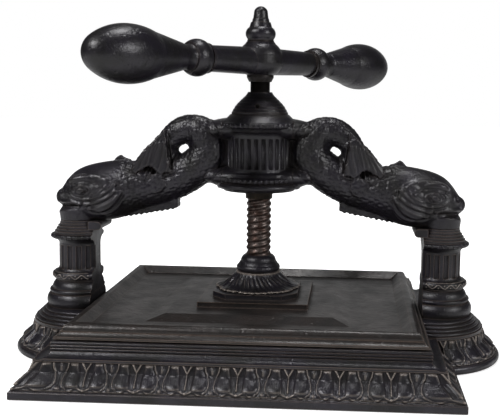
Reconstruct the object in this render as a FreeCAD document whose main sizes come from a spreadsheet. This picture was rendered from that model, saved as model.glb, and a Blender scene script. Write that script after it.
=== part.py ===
import FreeCAD, Part
import math
import os
import re
import Sketcher

# A cast-iron copying press: a flared bed with two side lobes, two columns with a flat that guides the
# platen, an arch of two dolphins that meet in a fluted hub, and a two-start screw turned by a
# double-ended handle. Millimetres, +Z up, +X to the right, the bed's underside at Z = 0 and the
# screw's axis on the Z axis. The press is modelled closed, with the platen resting on the bed.

doc = FreeCAD.newDocument("copying_press")
sheet = doc.addObject("Spreadsheet::Sheet", "sizes")

# Driving sizes
SIZES = {
    # bed
    "bed_length": 370, "bed_depth": 324, "bed_height": 41.5, "bed_plate": 12,
    "lobe_radius": 70, "nosing_height": 7, "skirt_foot": 2, "flare_height": 13, "flare_inset": 15,
    "skirt_height": 28, "fillet_height": 2.5, "cove_height": 3, "reed_inset": 27, "wall": 8,
    "rib_thickness": 6, "rib_pitch": 96, "bench_hole": 5.5, "bench_hole_inset": 9,
    "boss_radius": 17, "bolt_head_space": 22, "lobe_set": 11.6,
    # columns
    "guide_gap": 2, "column_set": 17.1, "pedestal_height": 13, "pedestal_radius": 30.3,
    "column_height": 70, "shaft_radius": 20, "bead_radius": 25.6, "capital_radius": 27,
    "neck_radius": 18.5, "torus_radius": 29.2, "base_ring": 12, "flute_radius": 2.6, "flutes": 14,
    "abacus_reach": 9, "abacus_depth": 36, "abacus_thickness": 8, "bolt_diameter": 12, "bolt_grip": 25, "bolt_play": 0.3, "bolt_head": 8,
    "bolt_across": 19, "bolt_washer": 2.5, "bolt_washer_radius": 13, "fit_gap": 0.1,
    # platen
    "platen_length": 313, "platen_depth": 266, "platen_thickness": 13, "shadow_gap": 1.5,
    "rim_inset": 10.5, "rim_width": 3.5, "rim_slope": 8, "recess_depth": 6, "plateau_half": 75,
    "plateau_rise": 4, "bevel_width": 15, "plinth_half": 51, "plinth_top": 57.3,
    # screw socket
    "foot_half": 40, "foot_facet": 26.5, "foot_thickness": 5, "socket_top": 94, "leaf_radius": 36,
    "collar_radius": 19.4, "socket_screw": 6,
    "socket_screw_offset": 25, "screw_head": 11, "screw_head_depth": 3,
    # screw
    "screw_diameter": 23.4, "running_gap": 0.3,
    "flange_radius": 16, "flange_thickness": 6, "washer_thickness": 2, "journal_radius": 9.3,
    # hub
    "hub_rise": 32.5, "hub_height": 72.5, "drum_radius": 31, "drum_foot": 21, "drum_height": 30,
    "hub_ring_radius": 37, "hub_flutes": 28, "hub_flute_radius": 2.3, "shoulder_reach": 57,
    "shoulder_depth": 29, "shoulder_height": 12.5, "bush_radius": 15.5, "bush_length": 55,
    "bush_flange_radius": 17.5, "bush_flange": 2.5, "bush_lip_radius": 12.9, "bush_lip": 5.5,
    "set_screw": 5, "set_screw_rise": 36,
    # bell collar, ring, handle and finial
    "bell_radius": 27, "bell_height": 21, "bell_pin": 4, "bell_pin_length": 38,
    "ring_height": 6.6, "ring_radius": 12.8,
    "boss_rise": 37.5, "handle_height": 31, "axis_height": 13, "boss_width": 21,
    "arm_radius": 12.6, "arm_end": 69.5, "bead_distance": 81.5, "arm_bead_radius": 16.6,
    "neck_distance": 95, "grip_start": 90, "grip_neck_radius": 11.8, "grip_stud": 10,
    "grip_stud_start": 53, "grip_stud_end": 140, "grip_radius": 24.6, "grip_end": 198,
    "grip_belly": 157, "handle_angle": 52.7, "tang_side": 13, "stud_radius": 6,
    "finial_height": 32, "finial_radius": 14, "finial_tip_radius": 6.6, "finial_washer": 1.5,
    "stud_length": 24,
    # dolphins
    "coil_share": 0.4186, "coil_rise": 71, "coil_hole": 5.2, "coil_lip": 9.5,
    "fin_thickness": 19, "eye_radius": 6.5, "snout_radius": 8.5, "crest_thickness": 7,
    "keel_thickness": 14, "keel_teeth": 10, "jaw_height": 15, "jaw_radius": 19.3,
}

# Stations of the dolphin from the snout to the end of the tail: distance out from the screw's axis
# as a share of the column's, height above the columns, half height, half thickness, and the angle
# of the spine there.
STATIONS = {
    "lips": (1.1076, 21.5, 7, 6.5, 0),
    "snout": (1.0763, 22.5, 13, 12, 0),
    "brow": (1.0251, 24.5, 21.5, 19, 0),
    "eye": (0.9510, 26, 26.5, 23, 2),
    "cheek": (0.8542, 28, 28.5, 24.5, 4),
    "gill": (0.7574, 31, 27.5, 23.5, 6),
    "nape": (0.6549, 34, 23, 21.5, 4),
    "flank": (0.5581, 35.5, 19.5, 18.5, 12),
    "belly": (0.4556, 42, 19, 18, 26),
    "turn": (0.3417, 54.5, 19, 18, 50),
    "rise": (0.2733, 70.5, 18.5, 17, 85),
    "climb": (0.2961, 82.5, 16.5, 16, 128),
    "crown": (0.3588, 89.3, 14.5, 14, 168),
    "arc": (0.4328, 87.8, 13, 12.5, 198),
    "tail": (0.5011, 76.8, 11.5, 11, 230),
    "tail_tip": (0.5695, 65, 8.5, 8, 233),
}
for station, numbers in STATIONS.items():
    for suffix, number in zip(("_share", "_rise", "_tall", "_thick", "_tilt"), numbers):
        SIZES[station + suffix] = number

# Sizes that follow from others: the columns keep beside the platen, the arch sits on the columns,
# and the screw's upper end keeps above the arch
SIZES.update({
    "guide_face": "=platen_length / 2 + guide_gap",
    "column_offset": "=guide_face + column_set",
    "lobe_offset": "=column_offset - lobe_set",
    "arch_seat": "=bed_height + pedestal_height + column_height",
    "hub_bottom": "=arch_seat + hub_rise",
    "hub_top": "=hub_bottom + hub_height",
    "drum_bottom": "=hub_bottom + drum_foot",
    "drum_top": "=drum_bottom + drum_height",
    "set_screw_height": "=hub_bottom + set_screw_rise",
    "thread_top": "=hub_top - 1.5",
    "boss_bottom": "=hub_top + boss_rise",
    "handle_axis": "=boss_bottom + axis_height",
    "coil_offset": "=column_offset * coil_share",
    "coil_height": "=arch_seat + coil_rise",
})
for station in STATIONS:
    SIZES[station + "_out"] = "=column_offset * %s_share" % station
    SIZES[station + "_up"] = "=arch_seat + %s_rise" % station

for row, alias in enumerate(SIZES, start=1):
    sheet.set("A%d" % row, alias)
    sheet.setAlias("B%d" % row, alias)
for row, content in enumerate(SIZES.values(), start=1):
    sheet.set("B%d" % row, str(content))
doc.recompute()


def cells(formula):
    """Write the sheet's name before each size in a formula."""
    return re.sub(r"[a-z_]+", lambda word: "sizes." + word[0] if word[0] in SIZES else word[0],
                  str(formula))


def size(formula):
    """The number that a formula of sizes gives."""
    answer = sheet.evalExpression(cells(formula))
    return float(getattr(answer, "Value", answer))


def bind(thing, **formulas):
    """Tie properties of an object to formulas of sizes; a double underscore stands for a dot."""
    for name, formula in formulas.items():
        thing.setExpression(name.replace("__", "."), cells(formula))
    return thing


def add(kind, name):
    return doc.addObject(kind, name)


def place(thing, out="0", back="0", up="0", turn=None, axis=(0, 0, 1)):
    """Put an object at a place given by formulas, turned about an axis."""
    bind(thing, Placement__Base__x=out, Placement__Base__y=back, Placement__Base__z=up)
    if turn is not None:
        thing.Placement.Rotation = FreeCAD.Rotation(FreeCAD.Vector(*axis), 30)
        bind(thing, Placement__Rotation__Angle=turn)
    return thing


def draw(sketch, points):
    """Draw a closed outline in a sketch. A point is (x, y), or (x, y, centre, turn) where an arc
    arrives at it: centre is the x of the arc's centre and turn is 1 counter-clockwise, -1 clockwise.
    A fifth item, "y", says that centre is the height of the arc's centre instead."""
    spots = [FreeCAD.Vector(size(point[0]), size(point[1]), 0) for point in points]
    edges = []
    for index, start in enumerate(spots):
        following = (index + 1) % len(points)
        end = spots[following]
        target = points[following]
        if len(target) == 2:
            edge = sketch.addGeometry(Part.LineSegment(start, end))
            edges.append((edge, 1, 2))
            continue
        chord = end - start
        reach = (end.Length ** 2 - start.Length ** 2) / 2
        if len(target) == 5:
            middle_y = size(target[2])
            middle_x = (reach - chord.y * middle_y) / chord.x
        else:
            middle_x = size(target[2])
            middle_y = (reach - chord.x * middle_x) / chord.y
        middle = FreeCAD.Vector(middle_x, middle_y, 0)
        first, last = (start, end) if target[3] > 0 else (end, start)
        circle = Part.Circle(middle, FreeCAD.Vector(0, 0, 1), (start - middle).Length)
        angles = [math.atan2(spot.y - middle_y, spot.x - middle_x) for spot in (first, last)]
        edge = sketch.addGeometry(Part.ArcOfCircle(circle, *angles))
        edges.append((edge, 1, 2) if target[3] > 0 else (edge, 2, 1))
        pin(sketch, "DistanceY" if len(target) == 5 else "DistanceX", edge, 3, target[2])
    for index, (edge, start, end) in enumerate(edges):
        following = edges[(index + 1) % len(edges)]
        sketch.addConstraint(Sketcher.Constraint("Coincident", edge, end, following[0], following[1]))
        pin(sketch, "DistanceX", edge, start, points[index][0])
        pin(sketch, "DistanceY", edge, start, points[index][1])


def pin(sketch, kind, edge, vertex, formula):
    """Hold a vertex at a distance from the sketch's origin that a formula gives."""
    held = sketch.addConstraint(Sketcher.Constraint(kind, -1, 1, edge, vertex, size(formula)))
    sketch.setExpression("Constraints[%d]" % held, cells(formula))


def sketch_on(body, role, name):
    """A sketch on one of a body's own origin planes."""
    sketch = body.newObject("Sketcher::SketchObject", name)
    plane = [feature for feature in body.Origin.OriginFeatures if feature.Role == role][0]
    sketch.AttachmentSupport = [(plane, "")]
    sketch.MapMode = "FlatFace"
    return sketch


def turned(name, points, axis="V_Axis"):
    """A body turned about its own Z axis (V_Axis) or its own X axis (H_Axis)."""
    body = add("PartDesign::Body", name)
    sketch = sketch_on(body, "XZ_Plane", name + "_outline")
    draw(sketch, points)
    revolution = body.newObject("PartDesign::Revolution", name + "_revolution")
    revolution.Profile = sketch
    revolution.ReferenceAxis = (sketch, [axis])
    revolution.Angle = 360
    doc.recompute()
    return body


def prism(name, points, role, length, both_ways=True):
    """A body padded from an outline, to both sides of its plane or along its normal."""
    body = add("PartDesign::Body", name)
    sketch = sketch_on(body, role, name + "_outline")
    draw(sketch, points)
    pad = body.newObject("PartDesign::Pad", name + "_pad")
    pad.Profile = sketch
    pad.Midplane = both_ways
    bind(pad, Length=length)
    doc.recompute()
    return body


def block(name, long, deep, tall, out="0", back="0", up="0"):
    """A box centred on a place, with its underside at that height."""
    box = bind(add("Part::Box", name), Length=long, Width=deep, Height=tall)
    return place(box, "%s - (%s) / 2" % (out, long), "%s - (%s) / 2" % (back, deep), up)


def rod(name, radius, tall, out="0", back="0", up="0"):
    cylinder = bind(add("Part::Cylinder", name), Radius=radius, Height=tall)
    return place(cylinder, out, back, up)


def hexagon(name, across, tall, out, up):
    prism_six = add("Part::Prism", name)
    prism_six.Polygon = 6
    bind(prism_six, Circumradius="(%s) / 1.7321" % across, Height=tall)
    return place(prism_six, out, "0", up)


def union(name, *shapes):
    fuse = add("Part::MultiFuse", name)
    fuse.Shapes = list(shapes)
    fuse.Refine = True
    return fuse


def shared(name, *shapes):
    common = add("Part::MultiCommon", name)
    common.Shapes = list(shapes)
    return common


def cut(name, base, *tools):
    result = add("Part::Cut", name)
    result.Base = base
    result.Tool = tools[0] if len(tools) == 1 else union(name + "_tools", *tools)
    result.Refine = True
    return result


def mirrored(name, source):
    """The same shape on the other side of the YZ plane."""
    mirror = add("Part::Mirroring", name)
    mirror.Source = source
    mirror.Normal = (1, 0, 0)
    return mirror


def group(name, *solids):
    """Separate solids kept together in one node."""
    compound = add("Part::Compound", name)
    compound.Links = list(solids)
    return compound


def both_sides(points):
    """A right-hand outline from its foot to its top, closed by its mirror image."""
    left = []
    for index in range(len(points) - 1, -1, -1):
        point = points[index]
        arriving = points[index + 1] if index + 1 < len(points) else None
        spot = ("-(%s)" % point[0], point[1])
        if arriving is not None and len(arriving) == 4:
            spot += ("-(%s)" % arriving[2], arriving[3])
        left.append(spot)
    return points + left


def moulded(name, half_long, half_deep, steps):
    """A rectangular block whose four sides carry one moulding, mitred at the corners: two long
    mouldings crossed at right angles, of which the shared part is kept."""
    pieces = []
    for side, role, half, length in (
        ("_along", "XZ_Plane", half_long, "2 * (%s)" % half_deep),
        ("_across", "YZ_Plane", half_deep, "2 * (%s)" % half_long),
    ):
        outline = []
        for step in steps:
            spot = ("%s - (%s)" % (half, step[0]), step[1])
            if len(step) == 4:
                spot += ("%s - (%s)" % (half, step[2]), step[3])
            outline.append(spot)
        pieces.append(prism(name + side, both_sides(outline), role, length))
    return shared(name, *pieces)


# Skirt of the bed, from the floor up: distance in from the nosing's edge, and height
flare_top = "nosing_height + flare_height"
fillet_top = "skirt_height + fillet_height"
cove_top = "skirt_height + fillet_height + cove_height"
reed = "(bed_height - skirt_height - fillet_height - cove_height) / 3"
SKIRT = [
    ("0.8", "0"),
    ("0.8", "nosing_height", "3.2", 1),
    ("skirt_foot", "nosing_height"),
    ("flare_inset", flare_top, "skirt_foot - 16", -1),
    ("flare_inset + 2", "skirt_height"),
    ("flare_inset + 0.5", "skirt_height"),
    ("flare_inset + 0.5", fillet_top),
    ("reed_inset", cove_top, "flare_inset + 5", -1),
    ("reed_inset", "%s + %s" % (cove_top, reed), "reed_inset + 0.8", 1),
    ("reed_inset", "%s + 2 * %s" % (cove_top, reed), "reed_inset + 0.8", 1),
    ("reed_inset", "bed_height", "reed_inset + 0.8", 1),
]


def lobe(name):
    """One round side lobe: the skirt's foot and flare under four rings that step in to the deck."""
    steps = [("lobe_radius - (%s)" % step[0], step[1]) + (
        ("lobe_radius - (%s)" % step[2], step[3]) if len(step) == 4 else ()) for step in SKIRT[:7]]
    low, rise = fillet_top, "(bed_height - skirt_height - fillet_height) / 4"
    for ring in range(4):
        radius = "lobe_radius - flare_inset - 2.5 - 3 * %d" % ring
        steps += [(radius, "%s + %d * %s" % (low, ring, rise)),
                  (radius, "%s + %d * %s" % (low, ring + 1, rise), radius + " - 0.5", 1)]
    return turned(name, steps + [("0", "bed_height"), ("0", "0")])


def pedestal(name):
    """The swollen ring on a side lobe that carries a column, turned about the column."""
    top = "bed_height + pedestal_height"
    return turned(name, [
        ("0", "bed_height - 1"), ("pedestal_radius", "bed_height - 1"),
        ("pedestal_radius", "bed_height"),
        ("pedestal_radius - 1", top + " - 1", "pedestal_radius - 8", 1),
        ("pedestal_radius - 2.4", top + " - 1"), ("pedestal_radius - 2.4", top), ("0", top)])


def make_bed():
    """The bed casting: moulded block, side lobes with pedestals, hollow and ribbed underneath."""
    slab = moulded("bed_slab", "bed_length / 2", "bed_depth / 2", SKIRT)
    lobes = []
    for side, sign in (("right", ""), ("left", "-")):
        lobes.append(place(lobe(side + "_lobe"), sign + "lobe_offset"))
        stand = place(pedestal(side + "_pedestal"), sign + "column_offset")
        # nothing stands on the bed inside the face that guides the platen
        clear = block(side + "_bed_clearance", "2 * guide_face", "2 * lobe_radius",
                      "pedestal_height + 2", "0", "0", "bed_height")
        lobes.append(cut(side + "_pedestal_with_flat", stand, clear))
    solid = union("bed_solid", slab, *lobes)
    ceiling = "bed_height - bed_plate"
    hollow = moulded("bed_hollow", "bed_length / 2 - wall", "bed_depth / 2 - wall",
                     [("0", "-1"), ("0", "nosing_height"), ("flare_inset", flare_top),
                      ("flare_inset + 1", ceiling)])
    wells = [
        turned(side + "_well", [
            ("0", "-1"), ("lobe_radius - wall", "-1"), ("lobe_radius - wall", "nosing_height"),
            ("lobe_radius - wall - flare_inset", flare_top),
            ("lobe_radius - wall - flare_inset - 1", ceiling), ("0", ceiling)])
        for side in ("right", "left")]
    place(wells[0], "lobe_offset")
    place(wells[1], "-lobe_offset")
    space = union("bed_space", hollow, *wells)
    keep = []
    for index, step in enumerate((-1.5, -0.5, 0.5, 1.5)):
        keep.append(block("cross_rib_%d" % index, "rib_thickness", "bed_depth - wall", ceiling,
                          "%s * rib_pitch" % step, "0", "nosing_height"))
    for index, step in enumerate((-1, 0, 1)):
        keep.append(block("long_rib_%d" % index, "bed_length + lobe_radius", "rib_thickness", ceiling,
                          "0", "%s * rib_pitch" % step, "nosing_height"))
    for side, sign in (("right", ""), ("left", "-")):
        keep.append(rod(side + "_boss", "boss_radius", ceiling, sign + "column_offset", "0",
                        "bolt_head_space"))
    carved = cut("bed_carved", solid, cut("bed_space_with_ribs", space, *keep))
    holes = []
    for index, (along, back) in enumerate(((1, 1), (1, -1), (-1, 1), (-1, -1))):
        out = "%d * (bed_length / 2 - bench_hole_inset)" % along
        depth = "%d * (bed_depth / 2 - bench_hole_inset)" % back
        holes.append(rod("bench_hole_%d" % index, "bench_hole / 2", "bed_height", out, depth, "-1"))
        holes.append(rod("bench_seat_%d" % index, "bench_hole", "bed_height", out, depth,
                         "nosing_height + 2"))
    for side, sign in (("right", ""), ("left", "-")):
        out = sign + "column_offset"
        holes.append(rod(side + "_bolt_hole", "bolt_diameter / 2 + bolt_play", "2 * bed_height", out))
        holes.append(rod(side + "_bolt_head_way", "bolt_washer_radius + bolt_play",
                         "bolt_head_space + 1", out, "0", "-1"))
    return cut("bed", carved, *holes)


def make_column(name, sign):
    """A column: a turned casting with a fluted shaft, cut flat where it guides the platen, and an
    abacus that reaches inwards under the dolphin's jaw and ends in a roll."""
    shaft_top = "column_height - 22"
    outline = [
        ("0", "0"), ("torus_radius - 1", "0"),
        ("torus_radius - 1", "base_ring * 0.3", "torus_radius - 2", 1),
        ("torus_radius - 2.4", "base_ring * 0.3"),
        ("bead_radius - 3", "base_ring - 0.5", "torus_radius - 12", 1),
        ("bead_radius - 3", "base_ring + 1"), ("bead_radius - 1.5", "base_ring + 1"),
        ("bead_radius - 1.5", "base_ring + 8.5", "bead_radius - 3.5", 1),
        ("shaft_radius + 2", "base_ring + 9"),
        ("shaft_radius", "base_ring + 13.5", "shaft_radius + 6", -1),
        ("shaft_radius", shaft_top),
        ("capital_radius - 3", "column_height - 17.5", "shaft_radius + 8", -1),
        ("capital_radius - 1.5", "column_height - 17.5"),
        ("capital_radius - 1.5", "column_height - 13", "capital_radius - 2", 1)]
    for ring in range(4):
        radius = "capital_radius - 3 - 1.6 * %d" % ring
        outline += [(radius, "column_height - 13 + 2.6 * %d" % ring),
                    (radius, "column_height - 10.4 + 2.6 * %d" % ring)]
    outline += [("neck_radius", "column_height - 2.6"), ("neck_radius", "column_height"),
                ("0", "column_height")]
    body = turned(name + "_turned", outline)
    flute = body.newObject("PartDesign::Pocket", name + "_flute")
    flute.Profile = flute_circle(body, name, "shaft_radius + flute_radius / 4", "flute_radius",
                                 "base_ring + 11")
    flute.Reversed = True
    bind(flute, Length="%s - base_ring - 13" % shaft_top)
    doc.recompute()
    pattern_round(body, flute, name, "flutes")
    face = "guide_face - column_offset"
    flat = block(name + "_flat_cut", "3 * column_offset", "4 * capital_radius", "column_height + 2",
                 face + " - 1.5 * column_offset", "0", "-1")
    half = cut(name + "_half", body, flat)
    roll = bind(add("Part::Cylinder", name + "_abacus_roll"), Radius="abacus_thickness / 2",
                Height="abacus_depth")
    place(roll, face + " - abacus_reach + abacus_thickness / 2", "abacus_depth / 2",
          "column_height - abacus_thickness / 2", "90", (1, 0, 0))
    shelf = block(name + "_abacus_shelf", "abacus_reach", "abacus_depth", "abacus_thickness",
                  face + " - abacus_reach / 2 + abacus_thickness / 2", "0",
                  "column_height - abacus_thickness")
    hole = rod(name + "_bolt_way", "bolt_diameter / 2 + bolt_play", "column_height + 2", "0", "0",
               "-1")
    column = cut(name, union(name + "_casting", half, roll, shelf), hole)
    place(column, sign + "column_offset", "0", "bed_height + pedestal_height",
          "0" if sign == "" else "180")
    return column


def flute_circle(body, name, out, radius, low):
    """A circle beside a turned body, to cut one flute from a level upwards."""
    sketch = sketch_on(body, "XY_Plane", name + "_flute_circle")
    circle = sketch.addGeometry(Part.Circle(FreeCAD.Vector(size(out), 0, 0), FreeCAD.Vector(0, 0, 1),
                                            size(radius)))
    sketch.addConstraint(Sketcher.Constraint("PointOnObject", circle, 3, -1))
    pin(sketch, "DistanceX", circle, 3, out)
    held = sketch.addConstraint(Sketcher.Constraint("Radius", circle, size(radius)))
    sketch.setExpression("Constraints[%d]" % held, cells(radius))
    sketch.setExpression("AttachmentOffset.Base.z", cells(low))
    doc.recompute()
    return sketch


def pattern_round(body, feature, name, count):
    """Repeat a cut evenly about the body's axis."""
    pattern = body.newObject("PartDesign::PolarPattern", name + "_flutes_round")
    pattern.Originals = [feature]
    pattern.Axis = (feature.Profile[0], ["N_Axis"])
    pattern.Angle = 360
    bind(pattern, Occurrences=count)
    body.Tip = pattern
    doc.recompute()


def loft(name, stations):
    """A smooth solid through elliptical sections set square to the dolphin's spine."""
    sections = []
    for station in stations:
        section = bind(add("Part::Ellipse", "%s_%s" % (name, station)),
                       MajorRadius=station + "_tall", MinorRadius=station + "_thick")
        place(section, station + "_out", "0", station + "_up", station + "_tilt - 90", (0, 1, 0))
        sections.append(section)
    body = add("Part::Loft", name)
    body.Sections = sections
    body.Solid = True
    return body


def ball(name, long, deep, tall, out, back, up):
    """An ellipsoid given by its half sizes."""
    shape = add("Part::Ellipsoid", name)
    shape.Angle1, shape.Angle2, shape.Angle3 = -90, 90, 360
    bind(shape, Radius2=long, Radius3=deep, Radius1=tall)
    return place(shape, out, back, up)


def make_dolphin():
    """The right-hand dolphin: head on the column, body rising to the hub, and the tail curled back
    over the top to end in a scalloped fin on the flank."""
    trunk = loft("dolphin_trunk", STATIONS)
    jaw = turned("dolphin_jaw", [
        ("0", "0"), ("neck_radius", "0"), ("jaw_radius", "jaw_height * 0.45"),
        ("jaw_radius - 3.5", "jaw_height * 0.85", "jaw_radius - 7", 1), ("0", "jaw_height + 6")])
    place(jaw, "column_offset", "0", "arch_seat")
    fin = prism("dolphin_fluke", [
        ("arc_out + 12", "arc_up + 2"), ("tail_tip_out + 8", "tail_tip_up + 3"),
        ("nape_out + 3.5", "nape_up + 22"), ("nape_out + 3.5", "nape_up + 4.5"),
        ("nape_out - 4", "nape_up + 2.5", "nape_out - 2", -1),
        ("flank_out + 3.5", "flank_up + 6.5", "nape_out - 6", 1),
        ("flank_out - 1.5", "flank_up + 11.5", "flank_out + 5", 1),
        ("flank_out - 9", "flank_up + 6.5", "flank_out - 1", -1),
        ("belly_out + 1.5", "belly_up + 4.5", "flank_out - 12", 1),
        ("tail_out - 2.5", "tail_up - 14")], "XZ_Plane", "2 * fin_thickness")
    crest = prism("dolphin_crest", [
        ("gill_out + 9", "gill_up + 24"), ("gill_out + 2", "gill_up + 32.5", "gill_out - 2", 1),
        ("gill_out - 7", "gill_up + 28", "gill_out - 12", -1), ("gill_out - 7", "gill_up + 20")],
        "XZ_Plane", "crest_thickness")
    teeth = int(size("keel_teeth"))
    toothed = []
    for tooth in range(teeth):
        for share, drop in ((tooth / teeth, "1.6"), ((tooth + 0.5) / teeth, "0")):
            out = "gill_out - 4 + %.4f * (belly_out - gill_out + 2)" % share
            toothed.append((out, "gill_up - 26 - (%s) + %.4f * (belly_up - gill_up - 1.5)" %
                            (drop, share)))
    keel = prism("dolphin_keel", toothed + [("belly_out - 2", "belly_up - 27.5"),
                                            ("belly_out - 2", "belly_up - 14"),
                                            ("gill_out - 4", "gill_up - 18")],
                 "XZ_Plane", "keel_thickness")
    parts = [trunk, jaw, fin, crest, keel]
    parts.append(ball("dolphin_nose", "snout_radius", "snout_radius", "snout_radius",
                      "snout_out + 1", "0", "snout_up - 0.5"))
    for side, sign in (("front", "-"), ("back", "")):
        parts.append(ball("dolphin_eye_" + side, "eye_radius", "eye_radius / 1.3", "eye_radius / 1.3",
                          "eye_out", sign + "(eye_thick - 1.5)", "eye_up + 4.5"))
        parts.append(ball("dolphin_brow_" + side, "2.2 * eye_radius", "eye_radius", "eye_radius",
                          "eye_out - 2", sign + "(eye_thick - 6)", "eye_up + 12"))
        parts.append(ball("dolphin_cheek_" + side, "2.6 * eye_radius", "eye_radius",
                          "2.8 * eye_radius", "cheek_out - 6", sign + "(cheek_thick - 4)",
                          "cheek_up - 3"))
    eyelet = bind(add("Part::Torus", "dolphin_eyelet"), Radius1="coil_hole + coil_lip",
                  Radius2="coil_lip")
    parts.append(place(eyelet, "coil_offset", "0", "coil_height", "90", (1, 0, 0)))
    return union("dolphin", *parts)


def make_arch():
    """The arch casting: two dolphins joined to the fluted hub by its rounded shoulders."""
    ring = "hub_ring_radius"
    hub = turned("hub_turned", [
        ("0", "hub_bottom"), (ring + " - 3", "hub_bottom"),
        (ring + " - 3", "hub_bottom + 2"), (ring + " + 1", "hub_bottom + 2"),
        (ring + " + 1", "hub_bottom + 7", ring + " + 0.6", 1),
        (ring + " - 1.5", "hub_bottom + 8.5"),
        (ring + " - 1.5", "hub_bottom + 13.5", ring + " - 2", 1),
        (ring + " - 3", "hub_bottom + 14"), (ring + " - 3", "hub_bottom + 17"),
        ("drum_radius", "drum_bottom", ring + " - 2", -1),
        ("drum_radius", "drum_top"),
        (ring + " - 1", "drum_top + 6", ring + " + 1", -1),
        (ring + " - 1", "drum_top + 8.5"),
        (ring + " - 1", "drum_top + 14", ring + " - 1.6", 1),
        (ring + " - 2.5", "drum_top + 15"), ("bell_radius + 1", "hub_top"), ("0", "hub_top")])
    flute = hub.newObject("PartDesign::Pocket", "hub_flute")
    flute.Profile = flute_circle(hub, "hub", "drum_radius + hub_flute_radius / 3",
                                 "hub_flute_radius", "drum_bottom + 1")
    flute.Reversed = True
    bind(flute, Length="drum_height - 2")
    doc.recompute()
    pattern_round(hub, flute, "hub", "hub_flutes")
    shoulders = [
        ball("hub_lower_shoulder", "shoulder_reach", "shoulder_depth", "shoulder_height", "0", "0",
             "hub_bottom + shoulder_height + 0.5"),
        ball("hub_upper_shoulder", "shoulder_reach", "shoulder_depth", "shoulder_height", "0", "0",
             "hub_top - shoulder_height - 1.5"),
        block("hub_web", "2 * (coil_offset - coil_hole - 8)", "shoulder_depth / 2",
              "hub_height - shoulder_height", "0", "0", "hub_bottom + shoulder_height / 2"),
    ]
    dolphin = make_dolphin()
    solid = union("arch_solid", hub, *shoulders, dolphin, mirrored("dolphin_left", dolphin))
    holes = [
        rod("bush_bore", "bush_radius + fit_gap", "bush_length + 1", "0", "0", "hub_bottom - 1"),
        rod("screw_bore", "screw_diameter / 2 + 3 * running_gap", "hub_top", "0", "0", "hub_bottom"),
        set_screw_rod("set_screw_bore", "set_screw / 2 + fit_gap"),
    ]
    for side, sign in (("right", ""), ("left", "-")):
        holes.append(rod(side + "_bolt_tapping", "bolt_diameter / 2 + fit_gap", "bolt_grip + 2",
                         sign + "column_offset", "0", "arch_seat - 1"))
        # the head is cut level where it sits on the column
        holes.append(block(side + "_seat_cut", "3 * jaw_radius + 2 * abacus_reach", "4 * jaw_radius",
                           "jaw_height", sign + "column_offset", "0", "arch_seat - jaw_height"))
    return cut("arch", solid, *holes)


def set_screw_rod(name, radius):
    """A rod from the hub's back to the nut bush."""
    shape = bind(add("Part::Cylinder", name), Radius=radius,
                 Height="drum_radius - bush_radius - fit_gap - 1")
    return place(shape, "0", "drum_radius - 1", "set_screw_height", "90", (1, 0, 0))


def make_nut_bush():
    """The bronze nut: a bush pushed up into the hub, stopped by its flange."""
    bore = "screw_diameter / 2 + running_gap"
    low = "hub_bottom - bush_flange - bush_lip"
    return turned("nut_bush", [
        (bore, low), ("bush_lip_radius", low), ("bush_lip_radius", low + " + bush_lip"),
        ("bush_flange_radius", low + " + bush_lip"), ("bush_flange_radius", "hub_bottom"),
        ("bush_radius", "hub_bottom"), ("bush_radius", "hub_bottom + bush_length - fit_gap"),
        (bore, "hub_bottom + bush_length - fit_gap")])


def make_column_bolts():
    """Long bolts from under the side lobes through the columns into the arch, with washers."""
    bolts, washers = [], []
    for side, sign in (("right", ""), ("left", "-")):
        out = sign + "column_offset"
        under = "bolt_head_space - bolt_washer"
        head = hexagon(side + "_bolt_head", "bolt_across", "bolt_head", out, under + " - bolt_head")
        shank = rod(side + "_bolt_shank", "bolt_diameter / 2",
                    "arch_seat + bolt_grip - bolt_head_space + bolt_washer", out, "0", under)
        bolts.append(union(side + "_bolt", head, shank))
        disc = rod(side + "_washer_disc", "bolt_washer_radius", "bolt_washer", out, "0", under)
        way = rod(side + "_washer_way", "bolt_diameter / 2 + bolt_play", "bolt_washer + 2", out, "0",
                  under + " - 1")
        washers.append(cut(side + "_washer", disc, way))
    return group("column_bolts", *bolts), group("column_bolt_washers", *washers)


def make_platen():
    """The pressing plate: stepped edge, raised rim, sunk top with a bevelled plateau and a plinth."""
    top = "platen_thickness"
    slab = moulded("platen_slab", "platen_length / 2", "platen_depth / 2", [
        ("3", "0"), ("3", "shadow_gap"), ("0", "shadow_gap"), ("0", "shadow_gap + 2"),
        ("1", "shadow_gap + 2"), ("4.3", top + " - 6.2", "-1", -1),
        ("5.4", top + " - 6.2"), ("5.4", top + " - 4.6"),
        ("rim_inset", top, "rim_inset + 0.5", 1)])
    half_long = "platen_length / 2 - rim_inset - rim_width"
    half_deep = "platen_depth / 2 - rim_inset - rim_width"
    floor = top + " - recess_depth"
    recess = moulded("platen_recess", half_long, half_deep,
                     [("rim_slope", floor), ("0", top), ("0", top + " + 1")])
    plateau = moulded("platen_plateau", "plateau_half + bevel_width", "plateau_half + bevel_width",
                      [("0", floor + " - 1"), ("0", floor),
                       ("bevel_width", floor + " + plateau_rise")])
    plinth = block("platen_plinth", "2 * plinth_half", "2 * plinth_half",
                   "plinth_top - bed_height - (%s)" % floor, "0", "0", floor)
    solid = union("platen_solid", cut("platen_sunk", slab, recess), plateau, plinth)
    holes = []
    for index, (along, back) in enumerate(((1, 1), (1, -1), (-1, 1), (-1, -1))):
        out, depth = ("%d * socket_screw_offset" % turn for turn in (along, back))
        holes.append(rod("platen_screw_way_%d" % index, "socket_screw / 2 + fit_gap", "plinth_top",
                         out, depth, "-1"))
        holes.append(screw_head_cone("platen_countersink_%d" % index, out, depth, "fit_gap", "0"))
    return place(cut("platen", solid, *holes), "0", "0", "bed_height")


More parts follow.
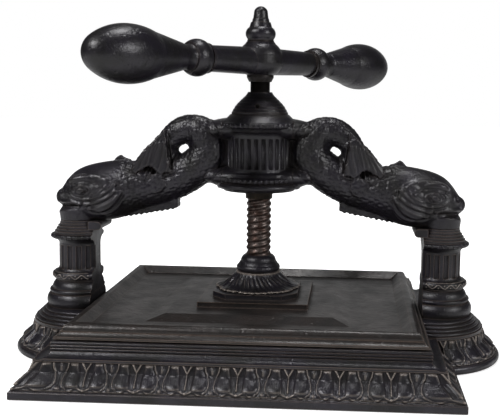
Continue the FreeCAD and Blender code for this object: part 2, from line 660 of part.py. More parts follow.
def screw_head_cone(name, out, back, gap, up):
    """The countersunk head of a screw, wide end down."""
    cone = bind(add("Part::Cone", name), Radius1="screw_head / 2 + %s" % gap,
                Radius2="socket_screw / 2 + %s" % gap, Height="screw_head_depth")
    return place(cone, out, back, up)


def make_socket():
    """The socket that holds the screw's foot: an octagonal foot, a flared bell and a collar."""
    foot = prism("socket_foot", [
        ("foot_half", "-foot_facet"), ("foot_half", "foot_facet"), ("foot_facet", "foot_half"),
        ("-foot_facet", "foot_half"), ("-foot_half", "foot_facet"), ("-foot_half", "-foot_facet"),
        ("-foot_facet", "-foot_half"), ("foot_facet", "-foot_half")], "XY_Plane",
        "foot_thickness", False)
    place(foot, "0", "0", "plinth_top")
    base = "plinth_top + foot_thickness"
    bell = turned("socket_bell", [
        ("0", base), ("leaf_radius", base), ("leaf_radius", base + " + 1.2"),
        ("collar_radius", "socket_top - 15.5", "leaf_radius + 4", -1),
        ("collar_radius - 0.6", "socket_top - 9", "collar_radius - 2", 1),
        ("collar_radius - 2.6", "socket_top - 8"),
        ("screw_diameter / 2 + 1.2", "socket_top", "collar_radius - 9", 1),
        ("0", "socket_top")])
    inside = turned("socket_space", [
        ("0", "plinth_top - 1"), ("flange_radius + running_gap", "plinth_top - 1"),
        ("flange_radius + running_gap",
         "plinth_top + washer_thickness + flange_thickness + running_gap"),
        ("screw_diameter / 2 + running_gap",
         "plinth_top + washer_thickness + flange_thickness + running_gap"),
        ("screw_diameter / 2 + running_gap", "socket_top + 1"), ("0", "socket_top + 1")])
    ways = [rod("socket_screw_way_%d" % index, "socket_screw / 2 + fit_gap", "foot_thickness + 5.2",
                "%d * socket_screw_offset" % along, "%d * socket_screw_offset" % back,
                "plinth_top - 1")
            for index, (along, back) in enumerate(((1, 1), (1, -1), (-1, 1), (-1, -1)))]
    return cut("screw_socket", union("socket_solid", foot, bell), inside, *ways)


def make_socket_screws():
    """Four countersunk screws from under the platen into the socket's foot."""
    screws = []
    for index, (along, back) in enumerate(((1, 1), (1, -1), (-1, 1), (-1, -1))):
        out, depth = ("%d * socket_screw_offset" % turn for turn in (along, back))
        head = screw_head_cone("socket_screw_head_%d" % index, out, depth, "0", "bed_height + 0.1")
        shank = rod("socket_screw_shank_%d" % index, "socket_screw / 2",
                    "plinth_top + foot_thickness - bed_height + 3", out, depth, "bed_height + 0.1")
        screws.append(union("socket_screw_%d" % index, head, shank))
    return group("socket_screws", *screws)


def make_thrust_washer():
    """The hardened washer that the screw's foot turns on."""
    return rod("thrust_washer", "flange_radius", "washer_thickness", "0", "0", "plinth_top")


def make_screw():
    """The screw: foot flange, threaded shank, journal, square tang and stud for the finial."""
    foot = "plinth_top + washer_thickness"
    shank = turned("screw_turned", [
        ("0", foot), ("flange_radius", foot), ("flange_radius", foot + " + flange_thickness"),
        ("screw_diameter / 2", foot + " + flange_thickness"), ("screw_diameter / 2", "thread_top"),
        ("journal_radius", "thread_top"), ("journal_radius", "boss_bottom"), ("0", "boss_bottom")])
    tang = block("screw_tang", "tang_side", "tang_side", "handle_height", "0", "0", "boss_bottom")
    place(tang, "-tang_side / 2", "-tang_side / 2", "boss_bottom")
    stud = rod("screw_stud", "stud_radius", "stud_length + 1", "0", "0",
               "boss_bottom + handle_height - 1")
    pin_way = cross_pin("screw_pin_way", "bell_pin / 2 + fit_gap", "3 * journal_radius")
    return cut("screw", union("screw_solid", shank, tang, stud), pin_way)


def cross_pin(name, radius, length):
    """A rod through the bell collar and the screw, front to back."""
    shape = bind(add("Part::Cylinder", name), Radius=radius, Height=length)
    return place(shape, "0", "(%s) / 2" % length, "hub_top + 8", "90", (1, 0, 0))


def make_bell():
    """The ringed bell that turns with the screw and meets the hub when the press is shut."""
    low = "hub_top + running_gap"
    outline = [("journal_radius + fit_gap", low), ("bell_radius", low)]
    for radius, height in ((0, 1.8), (1.6, 4.6), (3.4, 7.6), (6, 10.6), (9.2, 13.8), (12, 16.4)):
        outline += [("bell_radius - %g" % radius, low + " + %g" % height),
                    ("bell_radius - %g" % (radius + 0.7), low + " + %g" % (height + 0.4))]
    outline += [("journal_radius + 3", low + " + bell_height - 1.6"),
                ("journal_radius + 2.2", low + " + bell_height"),
                ("journal_radius + fit_gap", low + " + bell_height")]
    bell = turned("bell_turned", outline)
    return cut("bell_collar", bell, cross_pin("bell_pin_way", "bell_pin / 2 + fit_gap",
                                              "3 * bell_radius"))


def make_boss_ring():
    """The tapered ring under the handle's boss."""
    low = "boss_bottom - ring_height"
    return turned("boss_ring", [
        ("journal_radius + fit_gap", low), ("journal_radius + 1.3", low),
        ("ring_radius", "boss_bottom - 2.4"), ("ring_radius", "boss_bottom"),
        ("journal_radius + fit_gap", "boss_bottom")])


def make_handle():
    """The double arm: a swollen boss on the tang and two round arms that end in a bead."""
    boss = turned("handle_boss", [
        ("0", "boss_bottom"), ("ring_radius + 0.4", "boss_bottom"),
        ("boss_width", "boss_bottom + handle_height * 0.36", "boss_width - 14", 1),
        ("boss_width", "boss_bottom + handle_height * 0.62"),
        ("ring_radius + 2", "boss_bottom + handle_height - 2", "boss_width - 16", 1),
        ("ring_radius + 0.6", "boss_bottom + handle_height"),
        ("0", "boss_bottom + handle_height")])
    arms = []
    for side in ("right", "left"):
        arm = turned(side + "_arm", [
            ("0", "0"), ("0", "arm_radius + 0.6"), ("arm_end", "arm_radius - 0.8"),
            ("arm_end", "arm_radius + 1"), ("arm_end + 2.4", "arm_radius + 1"),
            ("arm_end + 2.4", "arm_radius - 0.4"), ("arm_end + 3.6", "arm_radius - 0.4"),
            ("arm_end + 3.6", "arm_bead_radius - 3"),
            ("bead_distance", "arm_bead_radius", "bead_distance", -1),
            ("2 * bead_distance - arm_end - 3.6", "arm_bead_radius - 3", "bead_distance", -1),
            ("grip_start", "grip_neck_radius"), ("grip_start", "0")], "H_Axis")
        arms.append(place(arm, "0", "0", "handle_axis",
                          "handle_angle" if side == "right" else "handle_angle + 180"))
    hole = place(bind(add("Part::Box", "handle_tang_hole"), Length="tang_side + 2 * fit_gap",
                      Width="tang_side + 2 * fit_gap", Height="handle_height + 2"),
                 "-tang_side / 2 - fit_gap", "-tang_side / 2 - fit_gap", "boss_bottom - 1")
    ways = [along_handle(side + "_stud_way", "grip_stud / 2 + fit_gap",
                         "grip_stud_start - 0.5", "grip_stud_end", side)
            for side in ("right", "left")]
    return cut("handle", union("handle_solid", boss, *arms), hole, *ways)


def along_handle(name, radius, start, end, side):
    """A rod along one arm of the handle."""
    body = turned(name, [(start, "0"), (start, radius), (end, radius), (end, "0")], "H_Axis")
    return place(body, "0", "0", "handle_axis",
                 "handle_angle" if side == "right" else "handle_angle + 180")


def make_grip(side):
    """A pear-shaped grip, turned, on a stud in the end of its arm."""
    body = turned(side + "_grip_turned", [
        ("grip_start + fit_gap", "0"), ("grip_start + fit_gap", "grip_neck_radius"),
        ("neck_distance + 6", "grip_neck_radius + 0.6", "grip_neck_radius + 14", 1, "y"),
        ("grip_belly - 24", "grip_radius - 4.5"),
        ("grip_belly", "grip_radius", "grip_belly", -1),
        ("grip_end - 8", "grip_radius - 10", "grip_belly", -1),
        ("grip_end", "0", "grip_end - 18", -1)], "H_Axis")
    place(body, "0", "0", "handle_axis",
          "handle_angle" if side == "right" else "handle_angle + 180")
    way = along_handle(side + "_grip_way", "grip_stud / 2 + fit_gap", "grip_start - 1",
                       "grip_stud_end + 0.5", side)
    return cut(side + "_grip", body, way)


def make_finial():
    """The finial nut that holds the handle down, and its washer."""
    low = "boss_bottom + handle_height + finial_washer"
    high = low + " + finial_height"
    body = turned("finial_turned", [
        ("0", low), ("finial_radius - 1.8", low), ("finial_radius - 1.4", low + " + 1.6"),
        ("finial_radius - 2", low + " + 11.5", "finial_radius - 7", 1),
        ("finial_radius - 3.2", low + " + 12.4"), ("finial_radius - 4.6", low + " + 17"),
        ("finial_radius - 5.6", low + " + 17"), ("finial_radius - 6.2", low + " + 20"),
        ("finial_tip_radius + 0.6", low + " + 21"),
        ("finial_tip_radius - 0.2", high + " - 4.6"),
        ("1", high, "0", 1), ("0", high)])
    hole = rod("finial_hole", "stud_radius + fit_gap", "stud_length + 1", "0", "0", low + " - 1")
    disc = rod("finial_disc", "ring_radius", "finial_washer", "0", "0",
               "boss_bottom + handle_height")
    way = rod("finial_disc_way", "stud_radius + fit_gap", "finial_washer + 2", "0", "0",
              "boss_bottom + handle_height - 1")
    return cut("finial_nut", body, hole), cut("finial_washer", disc, way)


bolts, bolt_washers = make_column_bolts()
finial, finial_disc = make_finial()
PIECES = {
    "bed": make_bed(),
    "left_column": make_column("left_column", "-"),
    "right_column": make_column("right_column", ""),
    "arch": make_arch(),
    "column_bolts": bolts,
    "column_bolt_washers": bolt_washers,
    "nut_bush": make_nut_bush(),
    "bush_set_screw": set_screw_rod("bush_set_screw", "set_screw / 2"),
    "platen": make_platen(),
    "screw_socket": make_socket(),
    "socket_screws": make_socket_screws(),
    "thrust_washer": make_thrust_washer(),
    "screw": make_screw(),
    "bell_collar": make_bell(),
    "bell_pin": cross_pin("bell_pin", "bell_pin / 2", "bell_pin_length"),
    "boss_ring": make_boss_ring(),
    "handle": make_handle(),
    "left_grip": make_grip("left"),
    "right_grip": make_grip("right"),
    "grip_studs": group("grip_studs", *[
        along_handle(side + "_stud", "grip_stud / 2", "grip_stud_start", "grip_stud_end", side)
        for side in ("right", "left")]),
    "finial_nut": finial,
    "finial_washer": finial_disc,
}
doc.recompute()

for name, piece in PIECES.items():
    piece.Label = name
failed = [thing.Name for thing in doc.Objects if {"Invalid", "Error"} & set(thing.State)]
failed += [name for name, piece in PIECES.items()
           if piece.Shape.isNull() or not piece.Shape.isValid() or not piece.Shape.Solids]
if failed:
    raise RuntimeError("these objects failed: " + ", ".join(failed))
os.makedirs("parts", exist_ok=True)
for name, piece in PIECES.items():
    piece.Shape.exportStep("parts/%s.step" % name)
    print("%-20s %2d solids %10.0f mm3" % (name, len(piece.Shape.Solids), piece.Shape.Volume))
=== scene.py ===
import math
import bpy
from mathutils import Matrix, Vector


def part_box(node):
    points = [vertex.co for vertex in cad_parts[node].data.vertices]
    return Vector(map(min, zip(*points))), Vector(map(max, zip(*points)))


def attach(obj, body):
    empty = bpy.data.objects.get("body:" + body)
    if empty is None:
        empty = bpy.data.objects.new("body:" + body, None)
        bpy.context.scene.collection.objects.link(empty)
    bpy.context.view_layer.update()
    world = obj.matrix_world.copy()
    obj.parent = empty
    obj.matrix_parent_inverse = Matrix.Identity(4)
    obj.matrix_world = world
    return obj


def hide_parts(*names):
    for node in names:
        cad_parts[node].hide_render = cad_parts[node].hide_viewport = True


bl_info = {
    "name": "Copying Press Dressing",
    "version": (1, 0, 0),
    "blender": (4, 5, 0),
    "location": "View3D > Sidebar > Press",
    "description": "Dresses the frame of a cast iron copying press with its ornament and finishes",
    "category": "Object",
}

import bmesh
import bpy
import numpy as np
from bpy.props import FloatProperty, IntProperty, PointerProperty, StringProperty
from mathutils import Matrix, Vector

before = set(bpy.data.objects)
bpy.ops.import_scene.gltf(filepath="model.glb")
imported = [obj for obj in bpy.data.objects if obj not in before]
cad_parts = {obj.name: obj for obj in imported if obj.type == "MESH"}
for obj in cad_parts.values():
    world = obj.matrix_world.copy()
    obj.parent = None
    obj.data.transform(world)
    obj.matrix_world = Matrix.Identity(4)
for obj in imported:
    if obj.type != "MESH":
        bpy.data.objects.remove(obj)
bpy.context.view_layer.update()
MM = 0.001
# From the screw's axis to a column's
COLUMN_OUT = 0.1756


# Small helpers

def linear(hex_text):
    """The linear colour of an sRGB hex value."""
    parts = [int(hex_text[i:i + 2], 16) / 255 for i in (1, 3, 5)]
    return tuple(c / 12.92 if c <= 0.04045 else ((c + 0.055) / 1.055) ** 2.4 for c in parts) + (1,)


def add_node(tree, kind, links=None, values=None, **settings):
    """Add a node. Settings are its properties, values its inputs by name or number, and links
    its inputs that read another node's output."""
    new = tree.nodes.new(kind)
    for name, value in settings.items():
        setattr(new, name, value)
    for key, value in (values or {}).items():
        new.inputs[key].default_value = value
    for key, output in (links or {}).items():
        tree.links.new(output, new.inputs[key])
    return new


def smooth(value, low, high):
    """A smooth step from 0 at low to 1 at high."""
    share = np.clip((np.asarray(value, float) - low) / (high - low), 0, 1)
    return share * share * (3 - 2 * share)


def mesh_object(name, points, faces, material, shade=True):
    """A mesh object from points in millimetres, linked to the scene."""
    mesh = bpy.data.meshes.new(name)
    mesh.from_pydata([tuple(c * MM for c in p) for p in points], [], faces)
    mesh.update()
    if material:
        mesh.materials.append(material)
    if shade:
        mesh.shade_smooth()
    made = bpy.data.objects.new(name, mesh)
    bpy.context.scene.collection.objects.link(made)
    return made


def face_outwards(made):
    """Merge doubles and turn the faces outwards."""
    work = bmesh.new()
    work.from_mesh(made.data)
    bmesh.ops.remove_doubles(work, verts=work.verts, dist=1e-6)
    bmesh.ops.recalc_face_normals(work, faces=work.faces)
    work.to_mesh(made.data)
    work.free()


def plain_mesh(made, name):
    """Bake an object's modifiers into a mesh of its own, and drop the modifiers."""
    graph = bpy.context.evaluated_depsgraph_get()
    mesh = bpy.data.meshes.new_from_object(made.evaluated_get(graph))
    made.modifiers.clear()
    made.data = mesh
    mesh.name = name
    made.name = name


def grid_faces(rows, columns, closed):
    """Quads of a grid of points, row by row; closed joins the last column to the first."""
    faces = []
    for low in range(0, (rows - 1) * columns, columns):
        high = low + columns
        for column in range(columns if closed else columns - 1):
            following = (column + 1) % columns
            faces.append((low + column, low + following, high + following, high + column))
    return faces


# Finishes

def start_finish(name):
    """A new material: its tree, its shader and its Object coordinates."""
    material = bpy.data.materials.new(name)
    material.use_nodes = True
    tree = material.node_tree
    where = add_node(tree, "ShaderNodeTexCoord").outputs["Object"]
    return material, tree, tree.nodes["Principled BSDF"], where


def iron_finish(name, dark, sheen, wear, rough, grain_mm, wear_and_highlight_amount, carved=False):
    """Blackened cast iron: near black paint or graphite over a sand-cast skin, a cool bluish sheen
    in patches, brown iron where hands and edges have rubbed it, and a brown tint in hollows that
    is partly dirt and partly painted shade. Carved relief is rubbed along its crests, and where
    its wear colour is light this is partly a painted highlight."""
    material, tree, shader, where = start_finish(name)
    # patches of handling and old polish, about 25 mm across
    patches = add_node(tree, "ShaderNodeTexNoise", {"Vector": where},
                       {"Scale": 40.0, "Detail": 5.0, "Roughness": 0.6})
    patch_tone = add_node(tree, "ShaderNodeMapRange", {"Value": patches.outputs["Fac"]},
                          {"From Min": 0.36, "From Max": 0.64})
    # sand grain of the casting, drawn at a size that shows
    grain = add_node(tree, "ShaderNodeTexNoise", {"Vector": where},
                     {"Scale": 1000.0 / grain_mm, "Detail": 3.0, "Roughness": 0.55})
    pits = add_node(tree, "ShaderNodeTexVoronoi", {"Vector": where},
                    {"Scale": 1000.0 / (grain_mm * 4)}, feature="F1")
    pit_tone = add_node(tree, "ShaderNodeMapRange", {"Value": pits.outputs["Distance"]},
                        {"From Min": 0.0, "From Max": 0.28})
    base = add_node(tree, "ShaderNodeMix", {0: patch_tone.outputs[0]},
                    {6: linear(dark), 7: linear(sheen)}, data_type="RGBA")
    if carved:
        # the crests of the relief, rubbed bare; where the wear colour is light this also paints a
        # highlight along them
        crest = add_node(tree, "ShaderNodeNewGeometry").outputs["Pointiness"]
        edge = add_node(tree, "ShaderNodeMapRange", {"Value": crest},
                        {"From Min": 0.51, "From Max": 0.58})
    else:
        # worn edges: where the smoothed normal turns away from the true one
        round_edge = add_node(tree, "ShaderNodeBevel", None, {"Radius": 0.0016}, samples=6)
        facing = add_node(tree, "ShaderNodeNewGeometry")
        bend = add_node(tree, "ShaderNodeVectorMath",
                        {0: round_edge.outputs[0], 1: facing.outputs["Normal"]},
                        operation="DOT_PRODUCT")
        edge = add_node(tree, "ShaderNodeMapRange", {"Value": bend.outputs["Value"]},
                        {"From Min": 0.985, "From Max": 0.86})
    rubbed = add_node(tree, "ShaderNodeMath", {0: edge.outputs[0], 1: grain.outputs["Fac"]},
                      operation="MULTIPLY")
    worn = add_node(tree, "ShaderNodeMath", {0: rubbed.outputs[0]}, {1: 2.0 * wear_and_highlight_amount},
                    operation="MULTIPLY", use_clamp=True)
    brown = add_node(tree, "ShaderNodeMix", {0: worn.outputs[0], 6: base.outputs[2]},
                     {7: linear(wear)}, data_type="RGBA")
    # hollows found by ambient occlusion take a brown tint and a duller gloss: partly dirt, partly
    # painted shade
    open_sky = add_node(tree, "ShaderNodeAmbientOcclusion", None, {"Distance": 0.006}, samples=6)
    hollow = add_node(tree, "ShaderNodeMapRange", {"Value": open_sky.outputs["AO"]},
                      {"From Min": 0.8, "From Max": 0.3, "To Max": 0.6})
    dirt_and_shade_tint = add_node(tree, "ShaderNodeMix", {0: hollow.outputs[0], 6: brown.outputs[2]},
                     {7: linear(colours().dirt_and_shade)}, data_type="RGBA")
    tree.links.new(dirt_and_shade_tint.outputs[2], shader.inputs["Base Color"])
    gloss = add_node(tree, "ShaderNodeMapRange", {"Value": patches.outputs["Fac"]},
                     {"From Min": 0.3, "From Max": 0.7, "To Min": rough + 0.1,
                      "To Max": rough - 0.08})
    dull = add_node(tree, "ShaderNodeMath", {0: gloss.outputs[0], 1: hollow.outputs[0]},
                    operation="ADD", use_clamp=True)
    tree.links.new(dull.outputs[0], shader.inputs["Roughness"])
    height = add_node(tree, "ShaderNodeMath", {0: grain.outputs["Fac"], 1: pit_tone.outputs[0]},
                      operation="ADD")
    bump = add_node(tree, "ShaderNodeBump", {"Height": height.outputs[0]},
                    {"Strength": 0.8, "Distance": 0.00032})
    # the uneven skin under the paint, lumps about 6 mm across
    lumps = add_node(tree, "ShaderNodeTexNoise", {"Vector": where},
                     {"Scale": 170.0, "Detail": 2.0})
    skin = add_node(tree, "ShaderNodeBump", {"Height": lumps.outputs["Fac"],
                                             "Normal": bump.outputs[0]},
                    {"Strength": 0.5, "Distance": 0.0007})
    tree.links.new(skin.outputs[0], shader.inputs["Normal"])
    shader.inputs["Metallic"].default_value = 0.3
    shader.inputs["Coat Weight"].default_value = 0.12
    shader.inputs["Coat Roughness"].default_value = 0.3
    return material


def steel_finish(name, bright, brown, rough):
    """Turned steel gone brown with age: a thin even rust over fine turning marks."""
    material, tree, shader, where = start_finish(name)
    rust = add_node(tree, "ShaderNodeTexNoise", {"Vector": where},
                    {"Scale": 160.0, "Detail": 6.0, "Roughness": 0.65})
    share = add_node(tree, "ShaderNodeMapRange", {"Value": rust.outputs["Fac"]},
                     {"From Min": 0.4, "From Max": 0.6})
    colour = add_node(tree, "ShaderNodeMix", {0: share.outputs[0]},
                      {6: linear(bright), 7: linear(brown)}, data_type="RGBA")
    tree.links.new(colour.outputs[2], shader.inputs["Base Color"])
    dull = add_node(tree, "ShaderNodeMapRange", {"Value": rust.outputs["Fac"]},
                    {"To Min": rough - 0.12, "To Max": rough + 0.15})
    tree.links.new(dull.outputs[0], shader.inputs["Roughness"])
    bump = add_node(tree, "ShaderNodeBump", {"Height": rust.outputs["Fac"]},
                    {"Strength": 0.5, "Distance": 0.0002})
    tree.links.new(bump.outputs[0], shader.inputs["Normal"])
    shader.inputs["Metallic"].default_value = 0.8
    return material


# Sizes and colours a user would change

class PressSizes(bpy.types.PropertyGroup):
    egg_pitch: FloatProperty(name="Egg pair pitch", description="From one dart to the next",
                             default=0.0414, unit="LENGTH")
    egg_relief: FloatProperty(name="Egg relief", description="How far the eggs stand out",
                              default=0.0031, unit="LENGTH")
    pearl_radius: FloatProperty(name="Pearl radius", description="Of the pearls on the capitals",
                                default=0.0021, unit="LENGTH")
    thread_pitch: FloatProperty(name="Thread pitch", description="From crest to crest",
                                default=0.0061, unit="LENGTH")
    thread_starts: IntProperty(name="Thread starts", description="Threads cut side by side",
                               default=2, min=1)
    carve_size: FloatProperty(name="Carving voxel", description="Mesh size of the dolphins",
                              default=0.0009, unit="LENGTH")


class PressColours(bpy.types.PropertyGroup):
    iron: StringProperty(name="Iron", description="sRGB hex of the blackened iron",
                         default="#0f0d0e")
    sheen: StringProperty(name="Sheen", description="sRGB hex of its polished patches",
                          default="#201d25")
    wear: StringProperty(name="Wear", description="sRGB hex of rubbed edges", default="#5d5049")
    rust: StringProperty(name="Rust", description="sRGB hex of the screw's rust",
                         default="#463630")
    # the tint mixed into the iron's hollows: partly dirt, partly painted shade
    dirt_and_shade: StringProperty(name="Dirt and shade", description="sRGB hex of the dirt in hollows",
                         default="#2b2320")
    floor: StringProperty(name="Floor", description="sRGB hex of the floor", default="#f4f4f4")


def sizes():
    return bpy.context.scene.press_sizes


def colours():
    return bpy.context.scene.press_colours


def finish(name):
    """A finish by name, made once. Iron: dark, sheen, wear, roughness, grain in mm and how much is
    worn. Steel: bright, brown and roughness."""
    if name in bpy.data.materials:
        return bpy.data.materials[name]
    paint = colours()
    irons = {
        "Blackened cast iron": (paint.iron, paint.sheen, paint.wear, 0.38, 1.1, 0.7),
        "Carved cast iron": (paint.iron, paint.sheen, "#3e3836", 0.37, 1.1, 0.35, True),
        # the light grey wear on the crests is partly rubbed iron and partly a painted highlight
        "Rubbed carved iron with painted crest highlight": (paint.iron, paint.sheen, "#8b8179", 0.36, 1.1, 0.9, True),
        "Hand-polished cast iron": (paint.iron, paint.sheen, paint.wear, 0.34, 1.4, 0.35),
        "Rubbed flat iron": ("#171413", "#2c2624", "#66574d", 0.36, 1.6, 0.8),
    }
    steels = {
        "Rusted screw steel": ("#5f5551", paint.rust, 0.38),
        "Darkened steel": ("#2c2929", "#211d1b", 0.42),
        "Tarnished gunmetal": ("#30281f", "#1f1a16", 0.45),
    }
    if name in irons:
        return iron_finish(name, *irons[name])
    return steel_finish(name, *steels[name])


# Repeats

def repeat_tree():
    """A node tree that sets copies of a piece in a row or round an axis and joins them to what
    comes in."""
    if "Press repeat" in bpy.data.node_groups:
        return bpy.data.node_groups["Press repeat"]
    tree = bpy.data.node_groups.new("Press repeat", "GeometryNodeTree")
    face = tree.interface
    face.new_socket("Geometry", in_out="INPUT", socket_type="NodeSocketGeometry")
    for name, kind in (("Piece", "NodeSocketObject"), ("Count", "NodeSocketInt"),
                       ("Centre", "NodeSocketVector"), ("Step", "NodeSocketVector"),
                       ("First turn", "NodeSocketFloat"), ("Turn step", "NodeSocketFloat"),
                       ("Finish", "NodeSocketMaterial")):
        face.new_socket(name, in_out="INPUT", socket_type=kind)
    face.new_socket("Geometry", in_out="OUTPUT", socket_type="NodeSocketGeometry")
    given = add_node(tree, "NodeGroupInput").outputs
    index = add_node(tree, "GeometryNodeInputIndex").outputs[0]
    travel = add_node(tree, "ShaderNodeVectorMath", {0: given["Step"], "Scale": index},
                      operation="SCALE")
    spot = add_node(tree, "ShaderNodeVectorMath", {0: travel.outputs[0], 1: given["Centre"]},
                    operation="ADD")
    turned = add_node(tree, "ShaderNodeMath",
                      {0: index, 1: given["Turn step"], 2: given["First turn"]},
                      operation="MULTIPLY_ADD")
    about_z = add_node(tree, "ShaderNodeCombineXYZ", {"Z": turned.outputs[0]})
    points = add_node(tree, "GeometryNodePoints",
                      {"Count": given["Count"], "Position": spot.outputs[0]})
    piece = add_node(tree, "GeometryNodeObjectInfo", {"Object": given["Piece"]})
    copies = add_node(tree, "GeometryNodeInstanceOnPoints",
                      {"Points": points.outputs[0], "Instance": piece.outputs["Geometry"],
                       "Rotation": about_z.outputs[0]})
    join = add_node(tree, "GeometryNodeJoinGeometry", {"Geometry": copies.outputs[0]})
    tree.links.new(given["Geometry"], join.inputs["Geometry"])
    real = add_node(tree, "GeometryNodeRealizeInstances", {"Geometry": join.outputs[0]})
    dressed = add_node(tree, "GeometryNodeSetMaterial",
                       {"Geometry": real.outputs[0], "Material": given["Finish"]})
    add_node(tree, "NodeGroupOutput", {"Geometry": dressed.outputs[0]})
    return tree


def repeated(name, rows, material, body):
    """One object of repeated pieces that rides on a body. A row is a dict of the tree's inputs."""
    made = mesh_object(name, [], [], None, shade=False)
    tree = repeat_tree()
    keys = {item.name: item.identifier for item in tree.interface.items_tree
            if item.item_type == "SOCKET" and item.in_out == "INPUT"}
    for given in rows:
        modifier = made.modifiers.new("Repeat", "NODES")
        modifier.node_group = tree
        for key, value in dict(given, Finish=material).items():
            modifier[keys[key]] = value
    pieces = {given["Piece"] for given in rows}
    plain_mesh(made, name)
    for piece in pieces:
        bpy.data.objects.remove(piece)
    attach(made, body)


def row(piece, count, centre, step=(0, 0, 0), first_turn=0.0, turn_step=0.0):
    """The inputs of a repeat: copies from a centre on, each a step further and a turn more."""
    return {"Piece": piece, "Count": count, "Centre": Vector(centre), "Step": Vector(step),
            "First turn": first_turn, "Turn step": turn_step}


# Skirt of the bed, in millimetres: distance in from the nosing's edge against height
SKIRT_IN = (0.8, 2.0, 4.6, 7.9, 11.0, 13.6, 15.0, 15.9, 17.0)
SKIRT_UP = (7.0, 7.0, 10.5, 14.2, 16.8, 18.8, 20.0, 24.0, 28.0)
FRIEZE_LOW, FRIEZE_TALL = 7.6, 19.8
HALF_TILE = 20.7
CORNER_REACH = 40.1
LOBE_RADIUS, LOBE_GIRTH_RADIUS = 70.0, 61.0
# The relief's height as egg_relief draws it, in metres like the sizes
FULL_RELIEF = 0.0031


def egg_relief(across, rise):
    """Relief in millimetres of a pair of eggs about its dart: across in mm from the dart, rise 0
    at the foot and 1 at the top."""
    side = np.abs(across)
    outer = np.interp(rise, (0, 0.06, 0.15, 0.3, 0.45, 0.62, 0.8, 1),
                      (10.5, 13.2, 16.0, 17.5, 17.3, 16.0, 14.3, 13.8))
    inner = np.interp(rise, (0, 0.2, 0.6, 1), (3.6, 4.2, 5.2, 6.6))
    share = np.clip((side - inner) / (outer - inner), 0, 1) ** 0.8
    ends = smooth(rise, 0.05, 0.24) * smooth(1.03 - rise, 0, 0.08)
    egg = 3.1 * np.sin(np.pi * share) ** 0.55 * ends
    rim = 2.1 * np.exp(-((side - outer - 1.0) / 0.62) ** 2) * smooth(rise, 0.02, 0.1)
    fork = np.interp(rise, (0, 0.7, 1), (0.0, 0.0, 3.4))
    dart = 2.9 * np.exp(-((side - fork) / 0.75) ** 2) * smooth(rise, 0.14, 0.24)
    bead = 2.4 * np.exp(-((side / 1.7) ** 2 + ((rise - 0.08) / 0.06) ** 2))
    wave = (0.07 + 0.08 * np.exp(-((side - 6.0) / 2.8) ** 2)
            - 0.04 * np.exp(-((side - 12) / 3) ** 2))
    lip = 1.6 * np.exp(-((rise - wave) / 0.035) ** 2) * smooth(outer - side, -1.0, 1.0)
    leaf = 1.8 * np.exp(-(((HALF_TILE - side) / 2.0) ** 2 + ((rise - 0.78) / 0.2) ** 2))
    foot = 1.8 * np.exp(-(((HALF_TILE - side) / 2.3) ** 2 + ((rise - 0.13) / 0.1) ** 2))
    return np.maximum.reduce([egg, rim, dart, bead, lip, leaf, foot])


def relief_tile(name, shape):
    """A closed sheet of egg and dart relief. The shape turns distance from the dart, depth behind
    the nosing's edge and height into a point."""
    columns, rows = 71, 31
    wide, tall = np.meshgrid(np.linspace(-HALF_TILE, HALF_TILE, columns),
                             np.linspace(0, 1, rows))
    level = FRIEZE_LOW + tall * FRIEZE_TALL
    skirt = np.interp(level, SKIRT_UP, SKIRT_IN)
    stands = egg_relief(wide, tall) * sizes().egg_relief / FULL_RELIEF
    ground, margin, thick = 0.35, 0.7, 5
    front = np.maximum(skirt + ground - stands, margin)
    points = np.stack(shape(wide, front, level), -1).reshape(-1, 3).tolist()
    back = np.stack(shape(wide, skirt + thick, level), -1)
    points += back[0].tolist() + back[-1].tolist()
    faces = grid_faces(rows, columns, False)
    count, top = rows * columns, (rows - 1) * columns
    for column in range(columns - 1):
        low, high = count + column, count + columns + column
        faces += [(low, low + 1, column + 1, column),
                  (high + 1, high, top + column, top + column + 1),
                  (low + 1, low, high, high + 1)]
    faces.append(tuple(range(0, count, columns)) + (count + columns, count))
    faces.append(tuple(range(count - 1, 0, -columns))
                 + (count + columns - 1, count + 2 * columns - 1))
    made = mesh_object(name, points, faces, None)
    face_outwards(made)
    return made


def corner_shape(wide, depth, level):
    """Round the corner of the bed, mitred: one leg runs along the front and one along the side."""
    along = depth + np.abs(wide) * (CORNER_REACH - depth) / HALF_TILE
    return np.where(wide < 0, -depth, -along), np.where(wide < 0, along, depth), level


def lobe_shape(wide, depth, level):
    """Round a side lobe."""
    angle = wide / LOBE_GIRTH_RADIUS
    radius = LOBE_RADIUS - depth
    return radius * np.sin(angle), -radius * np.cos(angle), level


class PRESS_OT_skirt_eggs(bpy.types.Operator):
    """Set the egg and dart frieze round the bed's skirt and its lobes"""
    bl_idname = "press.skirt_eggs"
    bl_label = "Skirt eggs"

    def execute(self, context):
        pitch = sizes().egg_pitch
        half_long, half_deep, lobe_offset, side_dart = 0.185, 0.162, 0.164, 0.1018
        rows = []
        straight = relief_tile("egg_tile", lambda wide, depth, level: (wide, depth, level))
        first = -3 * pitch
        rows.append(row(straight, 7, (first, -half_deep, 0), (pitch, 0, 0)))
        rows.append(row(straight, 7, (-first, half_deep, 0), (-pitch, 0, 0), math.pi))
        for sign in (1, -1):
            for near in (1, -1):
                rows.append(row(straight, 2, (sign * half_long, near * side_dart, 0),
                                (0, -near * pitch, 0), math.pi / 2 * sign))
        corner = relief_tile("egg_corner", corner_shape)
        for quarter, (x, y) in enumerate(((1, -1), (1, 1), (-1, 1), (-1, -1))):
            rows.append(row(corner, 1, (x * half_long, y * half_deep, 0), (0, 0, 0),
                            quarter * math.pi / 2))
        lobe_turn = 2 * HALF_TILE / LOBE_GIRTH_RADIUS
        bent = relief_tile("egg_bent", lobe_shape)
        for sign in (1, -1):
            rows.append(row(bent, 5, (sign * lobe_offset, 0, 0), (0, 0, 0),
                            math.pi / 2 * sign - 2 * lobe_turn, lobe_turn))
        repeated("skirt_frieze", rows, finish("Rubbed carved iron with painted crest highlight"), "frame")
        return {"FINISHED"}


